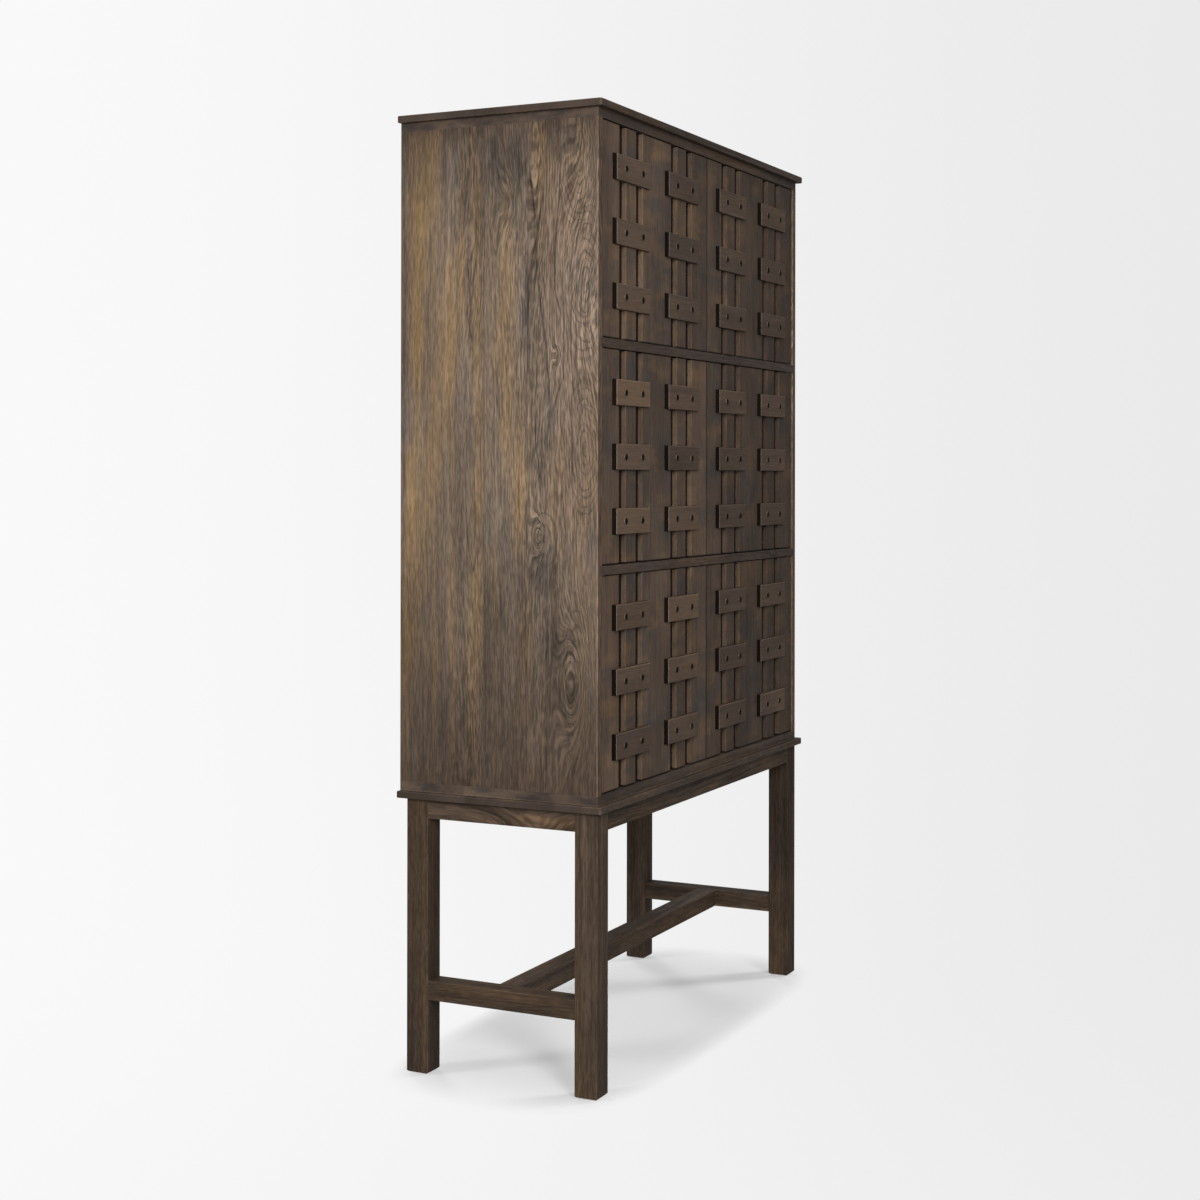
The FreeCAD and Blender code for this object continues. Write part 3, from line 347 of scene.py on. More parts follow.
def wood(name, grain, seed, tones, rub, rub_share=0.35, sway=0.05, bulges=(), joints=(),
         fleck=0.15, lines=0.15, smudges=0.2, paler=1.0, end_dark=0.5, edge=1.5, gloss=0.12,
         dull=0.58, marks=None):
    """Stained and oiled wood. grain names the axes along, across and through the board.

    tones are the dark, middle and light of the grain, and rub is the warmer colour where
    the stain is rubbed thin, at most by rub_share. sway is how far the rings wander. bulges
    are knots and eyes: an oval mark and its lift. joints are the places of glued joints
    across the board. fleck, lines and smudges are the strengths of the fibres and pores,
    of the dark ring lines and of the broad patches. paler lightens the whole piece,
    end_dark darkens its cut ends, and edge lightens its rounded edges. marks may change the
    colour before the grain shades it: it gets the tree, the colour, the axes and the way
    the surface faces, and gives a colour back.
    """
    draw = random.Random(seed)
    finish, tree, surface = new_finish(name)
    axes = object_axes(tree)
    facing = {letter: reckon(tree, "ABSOLUTE", value)
              for letter, value in object_axes(tree, "Normal").items()}
    along, across, through = [axes[letter] for letter in grain]

    # The growth rings run straight up the board, and sway and knots bend them.
    lot = draw.uniform(2, 9)
    for joint in joints:
        lot = reckon(tree, "MULTIPLY_ADD", reckon(tree, "GREATER_THAN", across, joint),
                     NEXT_BOARD, lot)
    inward = reckon(tree, "MULTIPLY_ADD", through, 5, lot)
    slow = figure(tree, across, inward, along, DRIFT, 1.0)
    quick = figure(tree, across, inward, along, WAVER, 2.0)
    rings = reckon(tree, "MULTIPLY_ADD", through, RING_LEAN, across)
    rings = reckon(tree, "MULTIPLY_ADD", slow, sway, rings)
    rings = reckon(tree, "MULTIPLY_ADD", quick, WAVER_SWAY, rings)
    lively = 1.0
    for *mark, lift in bulges:
        bulge = hill(tree, across, along, mark)
        rings = reckon(tree, "MULTIPLY_ADD", bulge, lift, rings)
        lively = reckon(tree, "MULTIPLY_ADD", bulge, KNOT_LIVELY, lively)

    # What the rings carry, from broad bands to pores, and how the stain took.
    aside = reckon(tree, "MULTIPLY_ADD", across, 20, inward)
    band = figure(tree, rings, lot, along, BANDS, 3.0, 0.6)
    line = figure(tree, rings, lot, along, LINES, 1.0)
    fibre = figure(tree, rings, aside, along, FIBRES, 2.0, 0.7)
    pore = figure(tree, rings, aside, along, PORES, 1.0)
    patch = figure(tree, across, inward, along, PATCHES, 3.0, 0.6)
    worn = figure(tree, across, inward, along, WORN, 3.0, 0.6)

    dark, middle, light = [(*tone, 1) for tone in tones]
    cut_end = ease(tree, facing[grain[0]], *CUT_END)
    colour = mixed(tree, ease(tree, band, 0.30, 0.5), dark, middle)
    colour = mixed(tree, ease(tree, band, 0.5, 0.70), colour, light)
    colour = mixed(tree, ease(tree, worn, 0.48, 0.66, 0.0, rub_share), colour, (*rub, 1))
    colour = mixed(tree, times(tree, cut_end, 0.85), colour, middle)
    if marks:
        colour = marks(tree, colour, axes, facing)
    shade = ease(tree, line, 0.52, 0.62, 1.0,
                 reckon(tree, "SUBTRACT", 1.0, times(tree, lively, lines)))
    swing = times(tree, lively, fleck)
    darker, brighter = reckon(tree, "SUBTRACT", 1.0, swing), reckon(tree, "ADD", 1.0, swing)
    shade = times(tree, shade, ease(tree, fibre, 0.40, 0.60, darker, brighter))
    shade = times(tree, shade, ease(tree, pore, 0.40, 0.60, brighter, darker))
    shade = reckon(tree, "POWER", shade, ease(tree, facing[grain[0]], *CUT_END, 1.0, 0.25))
    shade = times(tree, shade, ease(tree, patch, 0.34, 0.66,
                                    paler * (1 - smudges), paler * (1 + smudges)))
    shade = times(tree, shade, ease(tree, facing[grain[0]], *CUT_END, 1.0, end_dark))
    flat = reckon(tree, "MAXIMUM", facing["X"], reckon(tree, "MAXIMUM", facing["Y"], facing["Z"]))
    shade = times(tree, shade, ease(tree, flat, *FLAT_FACE, edge, 1.0))
    tint = tree.nodes.new("ShaderNodeCombineColor")
    for socket in tint.inputs:
        join(tree, shade, socket)
    join(tree, mixed(tree, 1.0, colour, tint.outputs[0], "MULTIPLY"),
         surface.inputs["Base Color"])

    join(tree, ease(tree, fibre, 0.3, 0.7, dull + 0.08, dull - 0.08),
         surface.inputs["Roughness"])
    surface.inputs["Specular IOR Level"].default_value = gloss
    relieve(tree, surface, reckon(tree, "SUBTRACT", fibre, pore), *GRAIN_RELIEF)
    return finish


def dress(node, finish):
    """Give a CAD piece its finish."""
    mesh = frame["nodes"][node].data
    mesh.materials.clear()
    mesh.materials.append(finish)


STAND_TONES = ((0.036, 0.024, 0.017), (0.058, 0.039, 0.027), (0.088, 0.060, 0.041))
STAND_RUB = (0.120, 0.072, 0.036)
# How pale each leg is made, for the light and shade it gets: painted light and shade.
LEG_PAINTED_LIGHT = {"front_left": 1.20, "front_right": 0.80, "back_left": 0.84, "back_right": 1.20}
for seed, (leg, paler) in enumerate(LEG_PAINTED_LIGHT.items(), 11):
    dress(f"leg_{leg}", wood(f"leg_{leg}_wood", "ZXY", seed, STAND_TONES, STAND_RUB,
                             sway=0.03, paler=paler))

# Aprons. Four thin rails of the same wood under the slab, their faces level with the legs.
# Each is tenoned into its legs. Grain runs along the rail, with broad arches in it.

# Each rail's grain, the sway of its rings, its shade and its arches. The shade makes a rail
# lighter or darker for the light it gets: painted light and shade.
APRON_CUTS = {"front": ("XZY", 0.09, 0.95, ()), "back": ("XZY", 0.09, 1.0, ()),
              "left": ("YZX", 0.05, 1.42, ((0.455, -0.085, 0.075, 0.105, 0.075),)),
              "right": ("YZX", 0.05, 1.0, ((0.470, 0.060, 0.070, 0.120, 0.060),))}
for seed, (rail, (grain, sway, paler, bulges)) in enumerate(APRON_CUTS.items(), 21):
    dress(f"apron_{rail}", wood(f"apron_{rail}_wood", grain, seed, STAND_TONES, STAND_RUB,
                                sway=sway, lines=0.35, paler=paler, bulges=bulges,
                                rub_share=0.55))

# Stretchers. One low rail joins the legs at each end, and a long one joins those two
# halfway back, so that the stand can't rack. Same wood, tenoned and glued.

# Each rail's grain and its shade, which makes it lighter or darker for the light it gets: painted
# light and shade.
STRETCHER_CUTS = {"left": ("YZX", 0.80), "right": ("YZX", 1.0), "centre": ("XZY", 1.25)}
for seed, (rail, (grain, paler)) in enumerate(STRETCHER_CUTS.items(), 31):
    dress(f"stretcher_{rail}", wood(f"stretcher_{rail}_wood", grain, seed, STAND_TONES,
                                    STAND_RUB, sway=0.06, paler=paler))

# Slabs. A thin board tops the stand and another tops the case. They stand proud of the
# case at the front and both ends, and their edges are rounded over by hand. Screws from
# inside the case and from the stand's corner blocks hold them.

SLAB_TONES = ((0.048, 0.034, 0.026), (0.062, 0.044, 0.034), (0.079, 0.056, 0.043))
CASE_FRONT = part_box("side_left")[0][1]
CASE_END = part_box("side_right")[1][0]
# The dark that slabs and doors are mixed towards: painted shade in corners, seams and towards the
# right, and a darker rib between grooves.
DARKENING = (0.014, 0.010, 0.008, 1)
CORNER_WIDE = (0.001, 0.004)
CORNER_SHADE = 0.20


def slab_marks(tree, colour, axes, facing):
    """Painted shade in the corner where the case stands on the slab or hangs under it."""
    past = reckon(tree, "MAXIMUM", reckon(tree, "SUBTRACT", CASE_FRONT, axes["Y"]),
                  reckon(tree, "SUBTRACT", reckon(tree, "ABSOLUTE", axes["X"]), CASE_END))
    # Painted shade along the corner.
    corner = ease(tree, past, *CORNER_WIDE, CORNER_SHADE, 0.0)
    return mixed(tree, times(tree, corner, facing["Z"]), colour, DARKENING)


for seed, slab in enumerate(("bottom", "top"), 41):
    dress(f"{slab}_slab", wood(f"{slab}_slab_wood", "XYZ", seed, SLAB_TONES, STAND_RUB,
                               sway=0.1, joints=(-0.09, 0.07), end_dark=0.9, edge=1.3,
                               fleck=0.12, marks=slab_marks))

# Case boards. The case top and floor run the full width, and their end grain shows
# above and below the sides. Two fixed dividers are let into the sides between the doors.

BOARD_TONES = ((0.052, 0.037, 0.030), (0.064, 0.046, 0.037), (0.076, 0.055, 0.043))
RUBBED_LINE = (0.200, 0.140, 0.100, 1)
RUBBED_HIGH = (0.0006, 0.0022)
END_DARK = (0.050, 0.040, 0.035, 1)
END_WARM = (0.120, 0.082, 0.058, 1)
BLOTCHES = (17, 45)
# How pale each board is; the case top is made a little darker as painted shade.
BOARD_PAINTED_SHADE = {"case_top": 0.92, "case_floor": 1.0, "divider_lower": 1.0,
                "divider_upper": 1.0}


def board_marks(tree, colour, axes, facing):
    """Blotches of stain in the end grain, and a line rubbed bare at the lowest edge."""
    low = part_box("case_floor")[0][2]
    blotch = figure(tree, axes["Y"], 3.0, axes["Z"], BLOTCHES, 4.0, 0.65)
    patchy = mixed(tree, ease(tree, blotch, 0.36, 0.64), END_DARK, END_WARM)
    colour = mixed(tree, ease(tree, facing["X"], *CUT_END, 0.0, 0.75), colour, patchy)
    start, end = RUBBED_HIGH
    return mixed(tree, ease(tree, axes["Z"], low + start, low + end, 0.5, 0.0),
                 colour, RUBBED_LINE)


for seed, (board, paler) in enumerate(BOARD_PAINTED_SHADE.items(), 51):
    dress(board, wood(f"{board}_wood", "XYZ", seed, BOARD_TONES, STAND_RUB, sway=0.1,
                      joints=(-0.06, 0.08), fleck=0.10, lines=0.1, paler=paler, end_dark=1.0,
                      edge=1.4, marks=board_marks))

# Sides. Each is glued up from three boards with lively grain: straight and honey brown
# towards the back, then a narrow greyer board, then a wide one with knots near the front.
# They are dowelled between the case top and floor.

SIDE_TONES = ((0.134, 0.098, 0.072), (0.152, 0.112, 0.081), (0.173, 0.129, 0.093))
SIDE_RUB = (0.225, 0.140, 0.068)
SIDE_JOINTS = (-0.060, 0.035)
JOINT_WIDE = (0.0004, 0.0012)
# Knots and eyes. A mark says how far back and how high it lies, then half its width and
# half its height, and here last how far it lifts the rings.
SIDE_BULGES = (
    (-0.086, 1.071, 0.013, 0.035, 0.045),
    (-0.123, 1.416, 0.008, 0.016, 0.016),
    (-0.162, 0.790, 0.030, 0.110, 0.060),
    (0.063, 1.800, 0.035, 0.370, 0.012),
    (0.060, 0.600, 0.035, 0.390, 0.015),
    (-0.017, 1.720, 0.025, 0.070, 0.025),
    (-0.085, 1.860, 0.022, 0.260, 0.035),
    (-0.175, 1.860, 0.035, 0.200, 0.050),
    (-0.185, 1.500, 0.040, 0.180, -0.035),
    (-0.100, 1.350, 0.105, 0.700, 0.0),
)
SMOKE = (0.050, 0.043, 0.040, 1)
HONEY = (0.250, 0.158, 0.072, 1)
BLUSH = (0.300, 0.210, 0.155, 1)
ASH = (0.105, 0.088, 0.080, 1)
SIDE_DARK = (0.068, 0.046, 0.033, 1)
# Streaks and smudges, each with its stain and share.
SIDE_MARKS = (
    ((0.185, 1.700, 0.024, 0.260), HONEY, 0.85),
    ((0.190, 1.150, 0.022, 0.330), HONEY, 0.35),
    ((0.150, 1.330, 0.018, 0.400), HONEY, 0.20),
    ((0.218, 1.300, 0.005, 0.800), SMOKE, 0.60),
    ((0.030, 1.720, 0.040, 0.180), SMOKE, 0.35),
    ((-0.085, 1.740, 0.012, 0.130), HONEY, 0.45),
    ((-0.041, 1.090, 0.008, 0.060), HONEY, 0.60),
    ((-0.056, 0.850, 0.010, 0.110), HONEY, 0.50),
    ((-0.173, 1.768, 0.020, 0.012), BLUSH, 0.60),
    ((-0.186, 1.615, 0.025, 0.014), BLUSH, 0.60),
    ((-0.155, 1.400, 0.055, 0.420), BLUSH, 0.42),
    ((-0.100, 0.990, 0.022, 0.042), SMOKE, 0.90),
    ((-0.111, 0.868, 0.024, 0.047), SMOKE, 0.90),
    ((-0.162, 0.777, 0.011, 0.024), SMOKE, 0.85),
    ((0.012, 0.886, 0.025, 0.120), SMOKE, 0.40),
    ((0.106, 0.640, 0.060, 0.060), SMOKE, 0.60),
    ((-0.124, 1.850, 0.030, 0.020), SMOKE, 0.60),
    ((-0.145, 1.745, 0.050, 0.080), BLUSH, 0.45),
    ((0.170, 0.620, 0.090, 0.090), SMOKE, 0.45),
)
FRONT_STAIN = (0.090, 0.060, 0.042, 1)
# The paler colour of the side's front corner: partly wear, partly a painted highlight.
WORN_AND_LIT_CORNER = (0.330, 0.225, 0.150, 1)
# Smudges that stop at a joint: the mark, the board's two edges, the stain and share.
STAVE_MARKS = (
    ((-0.010, 1.805, 0.075, 0.085), (-0.060, 0.035), SMOKE, 0.98),
    ((-0.030, 1.020, 0.045, 0.100), (-0.060, 0.035), SMOKE, 0.50),
    ((-0.045, 1.170, 0.016, 0.110), (-0.060, 0.035), HONEY, 0.60),
    ((-0.090, 1.000, 0.050, 0.060), (-0.215, -0.060), SMOKE, 0.58),
    ((0.100, 0.660, 0.060, 0.110), (0.035, 0.137), SMOKE, 0.75),
    ((-0.010, 0.620, 0.060, 0.080), (-0.060, 0.035), SMOKE, 0.35),
)
# Pointed arches: how far back, the tip's height, the spread, and how far they reach.
SIDE_WEDGES = (
    (0.064, 1.539, 0.17, 0.12), (0.062, 1.432, 0.17, 0.11), (0.059, 0.982, 0.17, 0.12),
    (-0.083, 1.640, 0.14, 0.12), (0.010, 1.600, 0.20, 0.10),
)
WEDGE_STEP = 0.0050
WEDGE_BLUNT = 0.00001
# Dark veins: the top end, the foot and the breadth.
SIDE_VEINS = (
    ((-0.0580, 1.850), (-0.0765, 1.660), 0.0027), ((-0.0765, 1.660), (-0.1075, 1.330), 0.0029),
    ((-0.0603, 1.620), (-0.0640, 1.380), 0.0034), ((-0.1330, 1.850), (-0.1190, 1.550), 0.0023),
    ((-0.1190, 1.550), (-0.1330, 1.490), 0.0023), ((-0.1394, 1.530), (-0.1396, 1.388), 0.0023),
    ((-0.1396, 1.388), (-0.1180, 1.310), 0.0025), ((-0.1350, 1.180), (-0.1460, 1.020), 0.0021),
    ((-0.0780, 1.290), (-0.0900, 1.130), 0.0021), ((-0.0560, 0.930), (-0.0590, 0.640), 0.0021),
)
VEIN_FADE = 0.012
VEIN_SWING = 0.008
# Rings round knots: the mark, how many rings and their share.
SIDE_KNOTS = (
    ((-0.1224, 1.417, 0.012, 0.024), 2, 0.75), ((-0.0895, 1.078, 0.013, 0.026), 2, 0.75),
    ((-0.0980, 1.065, 0.037, 0.066), 3, 0.60), ((-0.1670, 0.790, 0.036, 0.190), 6, 0.60),
    ((-0.1700, 1.800, 0.048, 0.150), 8, 0.60), ((-0.1850, 1.560, 0.050, 0.160), 8, 0.60),
    ((-0.1850, 1.240, 0.045, 0.150), 8, 0.55), ((-0.0200, 1.775, 0.024, 0.026), 3, 0.45),
)
RAGGED = (160, 9)
STREAKS = (26, 1.2)
COOL_PATCHES = (13, 4)
WAVES = (12, 22)
# Darker towards the slabs, even and then ragged: the two heights and the share at each.
EVEN_DARKENING = ((0.56, 1.15, 0.78, 0.0), (1.72, 1.87, 0.0, 0.50))
RAGGED_DARKENING = ((1.835, 1.875, 0.0, 0.55), (0.570, 0.660, 0.60, 0.0))
DARKENING_RAGGED = 0.12
RUBBED_AND_LIT_CORNER = (0.0008, 0.0028)


def knot_rings(tree, axes, wave, mark, count, share):
    """Rings round a knot, wavy and fading at its rim."""
    mid_y, mid_z, reach_y, reach_z = mark
    aside = times(tree, reckon(tree, "SUBTRACT", axes["Y"], mid_y), 1 / reach_y)
    above = times(tree, reckon(tree, "SUBTRACT", axes["Z"], mid_z), 1 / reach_z)
    reach = reckon(tree, "SQRT", reckon(tree, "MULTIPLY_ADD", aside, aside,
                                        times(tree, above, above)))
    ring = reckon(tree, "PINGPONG",
                  times(tree, reckon(tree, "MULTIPLY_ADD", wave, 0.5, reach), count), 0.5)
    return times(tree, ease(tree, ring, 0.04, 0.22, share, 0.0),
                 ease(tree, reach, 0.85, 1.1, 1.0, 0.0))


def vein(tree, axes, wavy, top, foot, breadth):
    """A dark vein from its top end to its foot, fading at both."""
    (top_y, top_z), (foot_y, foot_z) = top, foot
    line = ease(tree, axes["Z"], foot_z, top_z,
                foot_y + VEIN_SWING / 2, top_y + VEIN_SWING / 2)
    gap = reckon(tree, "ABSOLUTE", reckon(tree, "SUBTRACT", wavy, line))
    low = ease(tree, axes["Z"], foot_z - VEIN_FADE, foot_z + VEIN_FADE)
    high = ease(tree, axes["Z"], top_z - VEIN_FADE, top_z + VEIN_FADE, 1.0, 0.0)
    return times(tree, ease(tree, gap, 0.4 * breadth, 1.1 * breadth, 0.85, 0.0),
                 times(tree, low, high))


def wedge(tree, axes, ragged, at, tip, spread, height):
    """A nest of pointed arches that open upwards from a tip."""
    above = reckon(tree, "SUBTRACT", axes["Z"], tip)
    aside = reckon(tree, "SUBTRACT", axes["Y"], at)
    aside = reckon(tree, "SQRT", reckon(tree, "MULTIPLY_ADD", aside, aside, WEDGE_BLUNT))
    inside = reckon(tree, "SUBTRACT", times(tree, above, spread), aside)
    rim = ease(tree, reckon(tree, "PINGPONG", inside, WEDGE_STEP), 0.0008, 0.0022, 0.80, 0.0)
    rim = times(tree, rim, ease(tree, inside, -0.0015, 0.0, 0.0, 1.0))
    faded = times(tree, ragged, ease(tree, above, 0.3 * height, height, 1.0, 0.0))
    return times(tree, faded, rim)


def side_marks(tree, colour, axes, facing):
    """Streaks and smudges of stain, the glued joints, darker towards the slabs, and the front
    corner painted paler, partly rubbed bare and partly a painted highlight.
    """
    ragged = ease(tree, figure(tree, axes["Y"], 3.0, axes["Z"], RAGGED, 3.0, 0.6),
                  0.3, 0.62, 0.35, 1.0)
    for mark, stain, share in SIDE_MARKS:
        spot = times(tree, hill(tree, axes["Y"], axes["Z"], mark), ragged)
        colour = mixed(tree, times(tree, spot, share), colour, stain)
    soft = ease(tree, ragged, 0.35, 1.0, 0.75, 1.0)
    for mark, (low, high), stain, share in STAVE_MARKS:
        held = times(tree, ease(tree, axes["Y"], low, low + 0.001),
                     ease(tree, axes["Y"], high, high + 0.001, 1.0, 0.0))
        spot = times(tree, times(tree, hill(tree, axes["Y"], axes["Z"], mark), soft), held)
        colour = mixed(tree, times(tree, spot, share), colour, stain)
    streak = figure(tree, axes["Y"], 7.0, axes["Z"], STREAKS, 2.0, 0.5)
    golden = ease(tree, axes["Y"], -0.06, 0.17, 0.25, 0.70)
    colour = mixed(tree, ease(tree, streak, 0.46, 0.66, 0.0, golden), colour, HONEY)
    cool = figure(tree, axes["Y"], 9.0, axes["Z"], COOL_PATCHES, 4.0, 0.6)
    colour = mixed(tree, ease(tree, cool, 0.50, 0.70, 0.0, 0.55), colour, ASH)
    wave = figure(tree, axes["Y"], 2.0, axes["Z"], WAVES, 3.0, 0.6)
    for mark, count, share in SIDE_KNOTS:
        rings = knot_rings(tree, axes, wave, mark, count, share)
        colour = mixed(tree, times(tree, rings, ragged), colour, SMOKE)
    wavy = reckon(tree, "MULTIPLY_ADD", wave, VEIN_SWING, axes["Y"])
    for top, foot, breadth in SIDE_VEINS:
        dark = vein(tree, axes, wavy, top, foot, breadth)
        colour = mixed(tree, times(tree, dark, ragged), colour, SMOKE)
    for arches in SIDE_WEDGES:
        colour = mixed(tree, wedge(tree, axes, ragged, *arches), colour, SMOKE)
    for joint in SIDE_JOINTS:
        gap = reckon(tree, "ABSOLUTE", reckon(tree, "SUBTRACT", axes["Y"], joint))
        colour = mixed(tree, ease(tree, gap, *JOINT_WIDE, 0.45, 0.0), colour, SMOKE)
    # Darker towards both slabs, evenly and then raggedly.
    rough = reckon(tree, "MULTIPLY_ADD", reckon(tree, "SUBTRACT", cool, 0.5), DARKENING_RAGGED,
                   axes["Z"])
    for height, bands in ((axes["Z"], EVEN_DARKENING), (rough, RAGGED_DARKENING)):
        for band in bands:
            colour = mixed(tree, ease(tree, height, *band), colour, SIDE_DARK)
    # The front corner is painted paler, partly rubbed bare and partly a painted highlight.
    start, end = RUBBED_AND_LIT_CORNER
    corner = ease(tree, axes["Y"], CASE_FRONT + start, CASE_FRONT + end, 0.50, 0.0)
    colour = mixed(tree, corner, colour, WORN_AND_LIT_CORNER)
    return mixed(tree, ease(tree, facing["Y"], *FLAT_FACE, 0.0, 0.9), colour, FRONT_STAIN)


for seed, side in enumerate(("left", "right"), 61):
    dress(f"side_{side}", wood(f"side_{side}_wood", "ZYX", seed, SIDE_TONES, SIDE_RUB,
                               joints=SIDE_JOINTS, bulges=SIDE_BULGES, sway=0.05, fleck=0.15,
                               lines=0.11, smudges=0.16, edge=1.0, marks=side_marks))

# Back. One sheet of stained plywood, let into a rebate all round and screwed on from
# behind. Its grain runs upwards.

BACK_TONES = ((0.050, 0.034, 0.024), (0.075, 0.052, 0.036), (0.100, 0.070, 0.048))
dress("back_panel", wood("back_panel_wood", "ZXY", 71, BACK_TONES, STAND_RUB, sway=0.12,
                         fleck=0.15))

# Doors. Six solid boards, each with two pairs of upright grooves cut right through from
# top to bottom. They are stained dark, then rubbed back to a warm brown along each edge.
# Each turns on two hidden pins at its outer edge.

DOOR_TONES = ((0.093, 0.0630, 0.0460), (0.108, 0.073, 0.053), (0.122, 0.0835, 0.060))
DOOR_RUB = (0.174, 0.108, 0.063)
# How pale the doors are: the right ones darker, painted shade for the light that falls off to the
# right.
DOOR_PAINTED_SHADES = {"left": 0.96, "right": 0.85}
DOORS = [f"door_{tier}_{side}" for tier in ("lower", "middle", "upper")
         for side in ("left", "right")]
FACE_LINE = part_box("door_lower_left_panel")[0][1]
MIDDLE_LINE = sum(corner[0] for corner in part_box("door_lower_right_panel")) / 2
COLUMN_ASIDE = 0.1235
GROOVE_ASIDE = 0.0385
GROOVE_WIDE = 0.030
DOOR_PATCHES = (6, 13)
DOOR_STREAKS = (120, 12)
DOOR_COOL = (7, 12)
UPRIGHT = (0.6, 0.9)
RUBBED_BAND = (GROOVE_WIDE / 2 + 0.001, GROOVE_WIDE / 2 + 0.005)
FLOOR_STARTS = (0.0010, 0.0045)
FLOOR_ENDS = (0.0120, 0.0140)
WALL_TOP_BAND = (0.0010, 0.0055)
WALL_ARRIS = (0.0016, 0.0032)
WALL_FOOT = (0.0088, 0.0102)
RIB_HALF = (0.021, 0.024)
# Painted shade: the doors darken towards the right, where less light falls. The two places and
# the share of shade at each.
RIGHTWARD_SHADE = ((-0.52, 0.52, 0.0, 0.36), (0.30, 0.54, 0.0, 0.12))
# Painted shadow along the seams: how far it reaches above each door's foot, and out from the
# middle line between the doors.
SEAM_LOW = (0.0012, 0.0028)
SEAM_MIDDLE = (0.0020, 0.0040)
# Near-black painted shade for the floors of the grooves and pockets and the foot of the groove
# walls.
RECESS_SHADE = (0.020, 0.013, 0.009, 1)
RUBBED_EDGE = (0.270, 0.168, 0.090, 1)
# The paler colour of the groove walls: partly wear, partly painted light.
WORN_AND_LIT_WALL = (0.160, 0.108, 0.072, 1)
COOL_STAIN = (0.078, 0.064, 0.056, 1)
DOOR_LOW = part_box("door_lower_left_panel")[0][2]
TIER_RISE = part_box("door_middle_left_panel")[0][2] - DOOR_LOW


def door_marks(tree, colour, axes, facing):
    """Painted shade: near-black floors in the grooves and pockets, dark feet to the groove walls,
    dark seams and darkening to the right. Groove walls paler, partly wear and partly painted
    light, a darker rib in each pair, and stain rubbed off along the edges.
    """
    across = reckon(tree, "SUBTRACT", reckon(tree, "ABSOLUTE", axes["X"]), MIDDLE_LINE)
    in_pair = reckon(tree, "SUBTRACT", reckon(tree, "ABSOLUTE", across), COLUMN_ASIDE)
    in_pair = reckon(tree, "ABSOLUTE", in_pair)
    aside = reckon(tree, "ABSOLUTE", reckon(tree, "SUBTRACT", in_pair, GROOVE_ASIDE))
    uneven = figure(tree, axes["X"], 0.0, axes["Z"], DOOR_PATCHES, 3.0, 0.6)
    streaky = figure(tree, axes["X"], 0.0, axes["Z"], DOOR_STREAKS, 2.0)
    cool = figure(tree, axes["X"], 4.0, axes["Z"], DOOR_COOL, 4.0, 0.6)
    colour = mixed(tree, ease(tree, cool, 0.46, 0.66, 0.0, 0.85), colour, COOL_STAIN)
    colour = mixed(tree, ease(tree, uneven, 0.49, 0.66, 0.0, 0.75), colour, (*DOOR_RUB, 1))
    rubbed = ease(tree, aside, *RUBBED_BAND, 1.0, 0.0)
    rubbed = times(tree, rubbed, ease(tree, uneven, 0.46, 0.64, 0.05, 0.34))
    rubbed = times(tree, rubbed, ease(tree, streaky, 0.35, 0.60, 0.5, 1.0))
    colour = mixed(tree, rubbed, colour, RUBBED_EDGE)
    depth = reckon(tree, "SUBTRACT", axes["Y"], FACE_LINE)
    upright = ease(tree, facing["X"], *UPRIGHT)
    # Painted shade: the floors of the grooves and pockets go near-black.
    in_groove = times(tree, times(tree, ease(tree, depth, *FLOOR_STARTS), facing["Y"]),
                      ease(tree, depth, *FLOOR_ENDS, 1.0, 0.0))
    colour = mixed(tree, in_groove, colour, RECESS_SHADE)
    # The groove walls go paler, partly wear and partly painted light. They keep more of the
    # face's colour near the top and have a rubbed line at the arris.
    wall = mixed(tree, ease(tree, uneven, 0.38, 0.62, 0.45, 0.95), colour, WORN_AND_LIT_WALL)
    wall = mixed(tree, ease(tree, depth, *WALL_TOP_BAND, 0.60, 0.0), wall, colour)
    rubbed = times(tree, ease(tree, depth, *WALL_ARRIS, 0.20, 0.0),
                   ease(tree, streaky, 0.45, 0.65))
    wall = mixed(tree, rubbed, wall, RUBBED_EDGE)
    # Painted shade at the foot of each groove wall.
    wall = mixed(tree, ease(tree, depth, *WALL_FOOT, 0.0, 0.85), wall, RECESS_SHADE)
    colour = mixed(tree, upright, colour, wall)
    colour = mixed(tree, ease(tree, in_pair, *RIB_HALF, 0.10, 0.0), colour, DARKENING)
    # Painted shade: darker towards the right.
    stain = reckon(tree, "ADD", *[ease(tree, axes["X"], *band) for band in RIGHTWARD_SHADE])
    colour = mixed(tree, stain, colour, DARKENING)
    # Painted shadow along the foot of each door and down the seam between the two doors.
    height = reckon(tree, "MODULO", reckon(tree, "SUBTRACT", axes["Z"], DOOR_LOW), TIER_RISE)
    seam = reckon(tree, "MAXIMUM", ease(tree, height, *SEAM_LOW, 0.9, 0.0),
                  ease(tree, reckon(tree, "ABSOLUTE", axes["X"]), *SEAM_MIDDLE, 0.8, 0.0))
    return mixed(tree, seam, colour, DARKENING)


for seed, door in enumerate(DOORS, 81):
    dress(f"{door}_panel", wood(f"{door}_wood", "ZXY", seed, DOOR_TONES, DOOR_RUB,
                                fleck=0.08, lines=0.07, smudges=0.20, edge=1.1,
                                paler=DOOR_PAINTED_SHADES[door.split("_")[-1]], marks=door_marks))

# Cross blocks. Thirty-six short blocks, let into pockets a little longer than they are.
# Each is cut from its own offcut, so one is paler and the next darker, and their sawn ends are
# nearly black.

BLOCK_RISE = 0.125
BLOCK_SHADES = {"left": 0.80, "right": 0.79}
BLOCK_PALE = (0.200, 0.130, 0.083, 1)
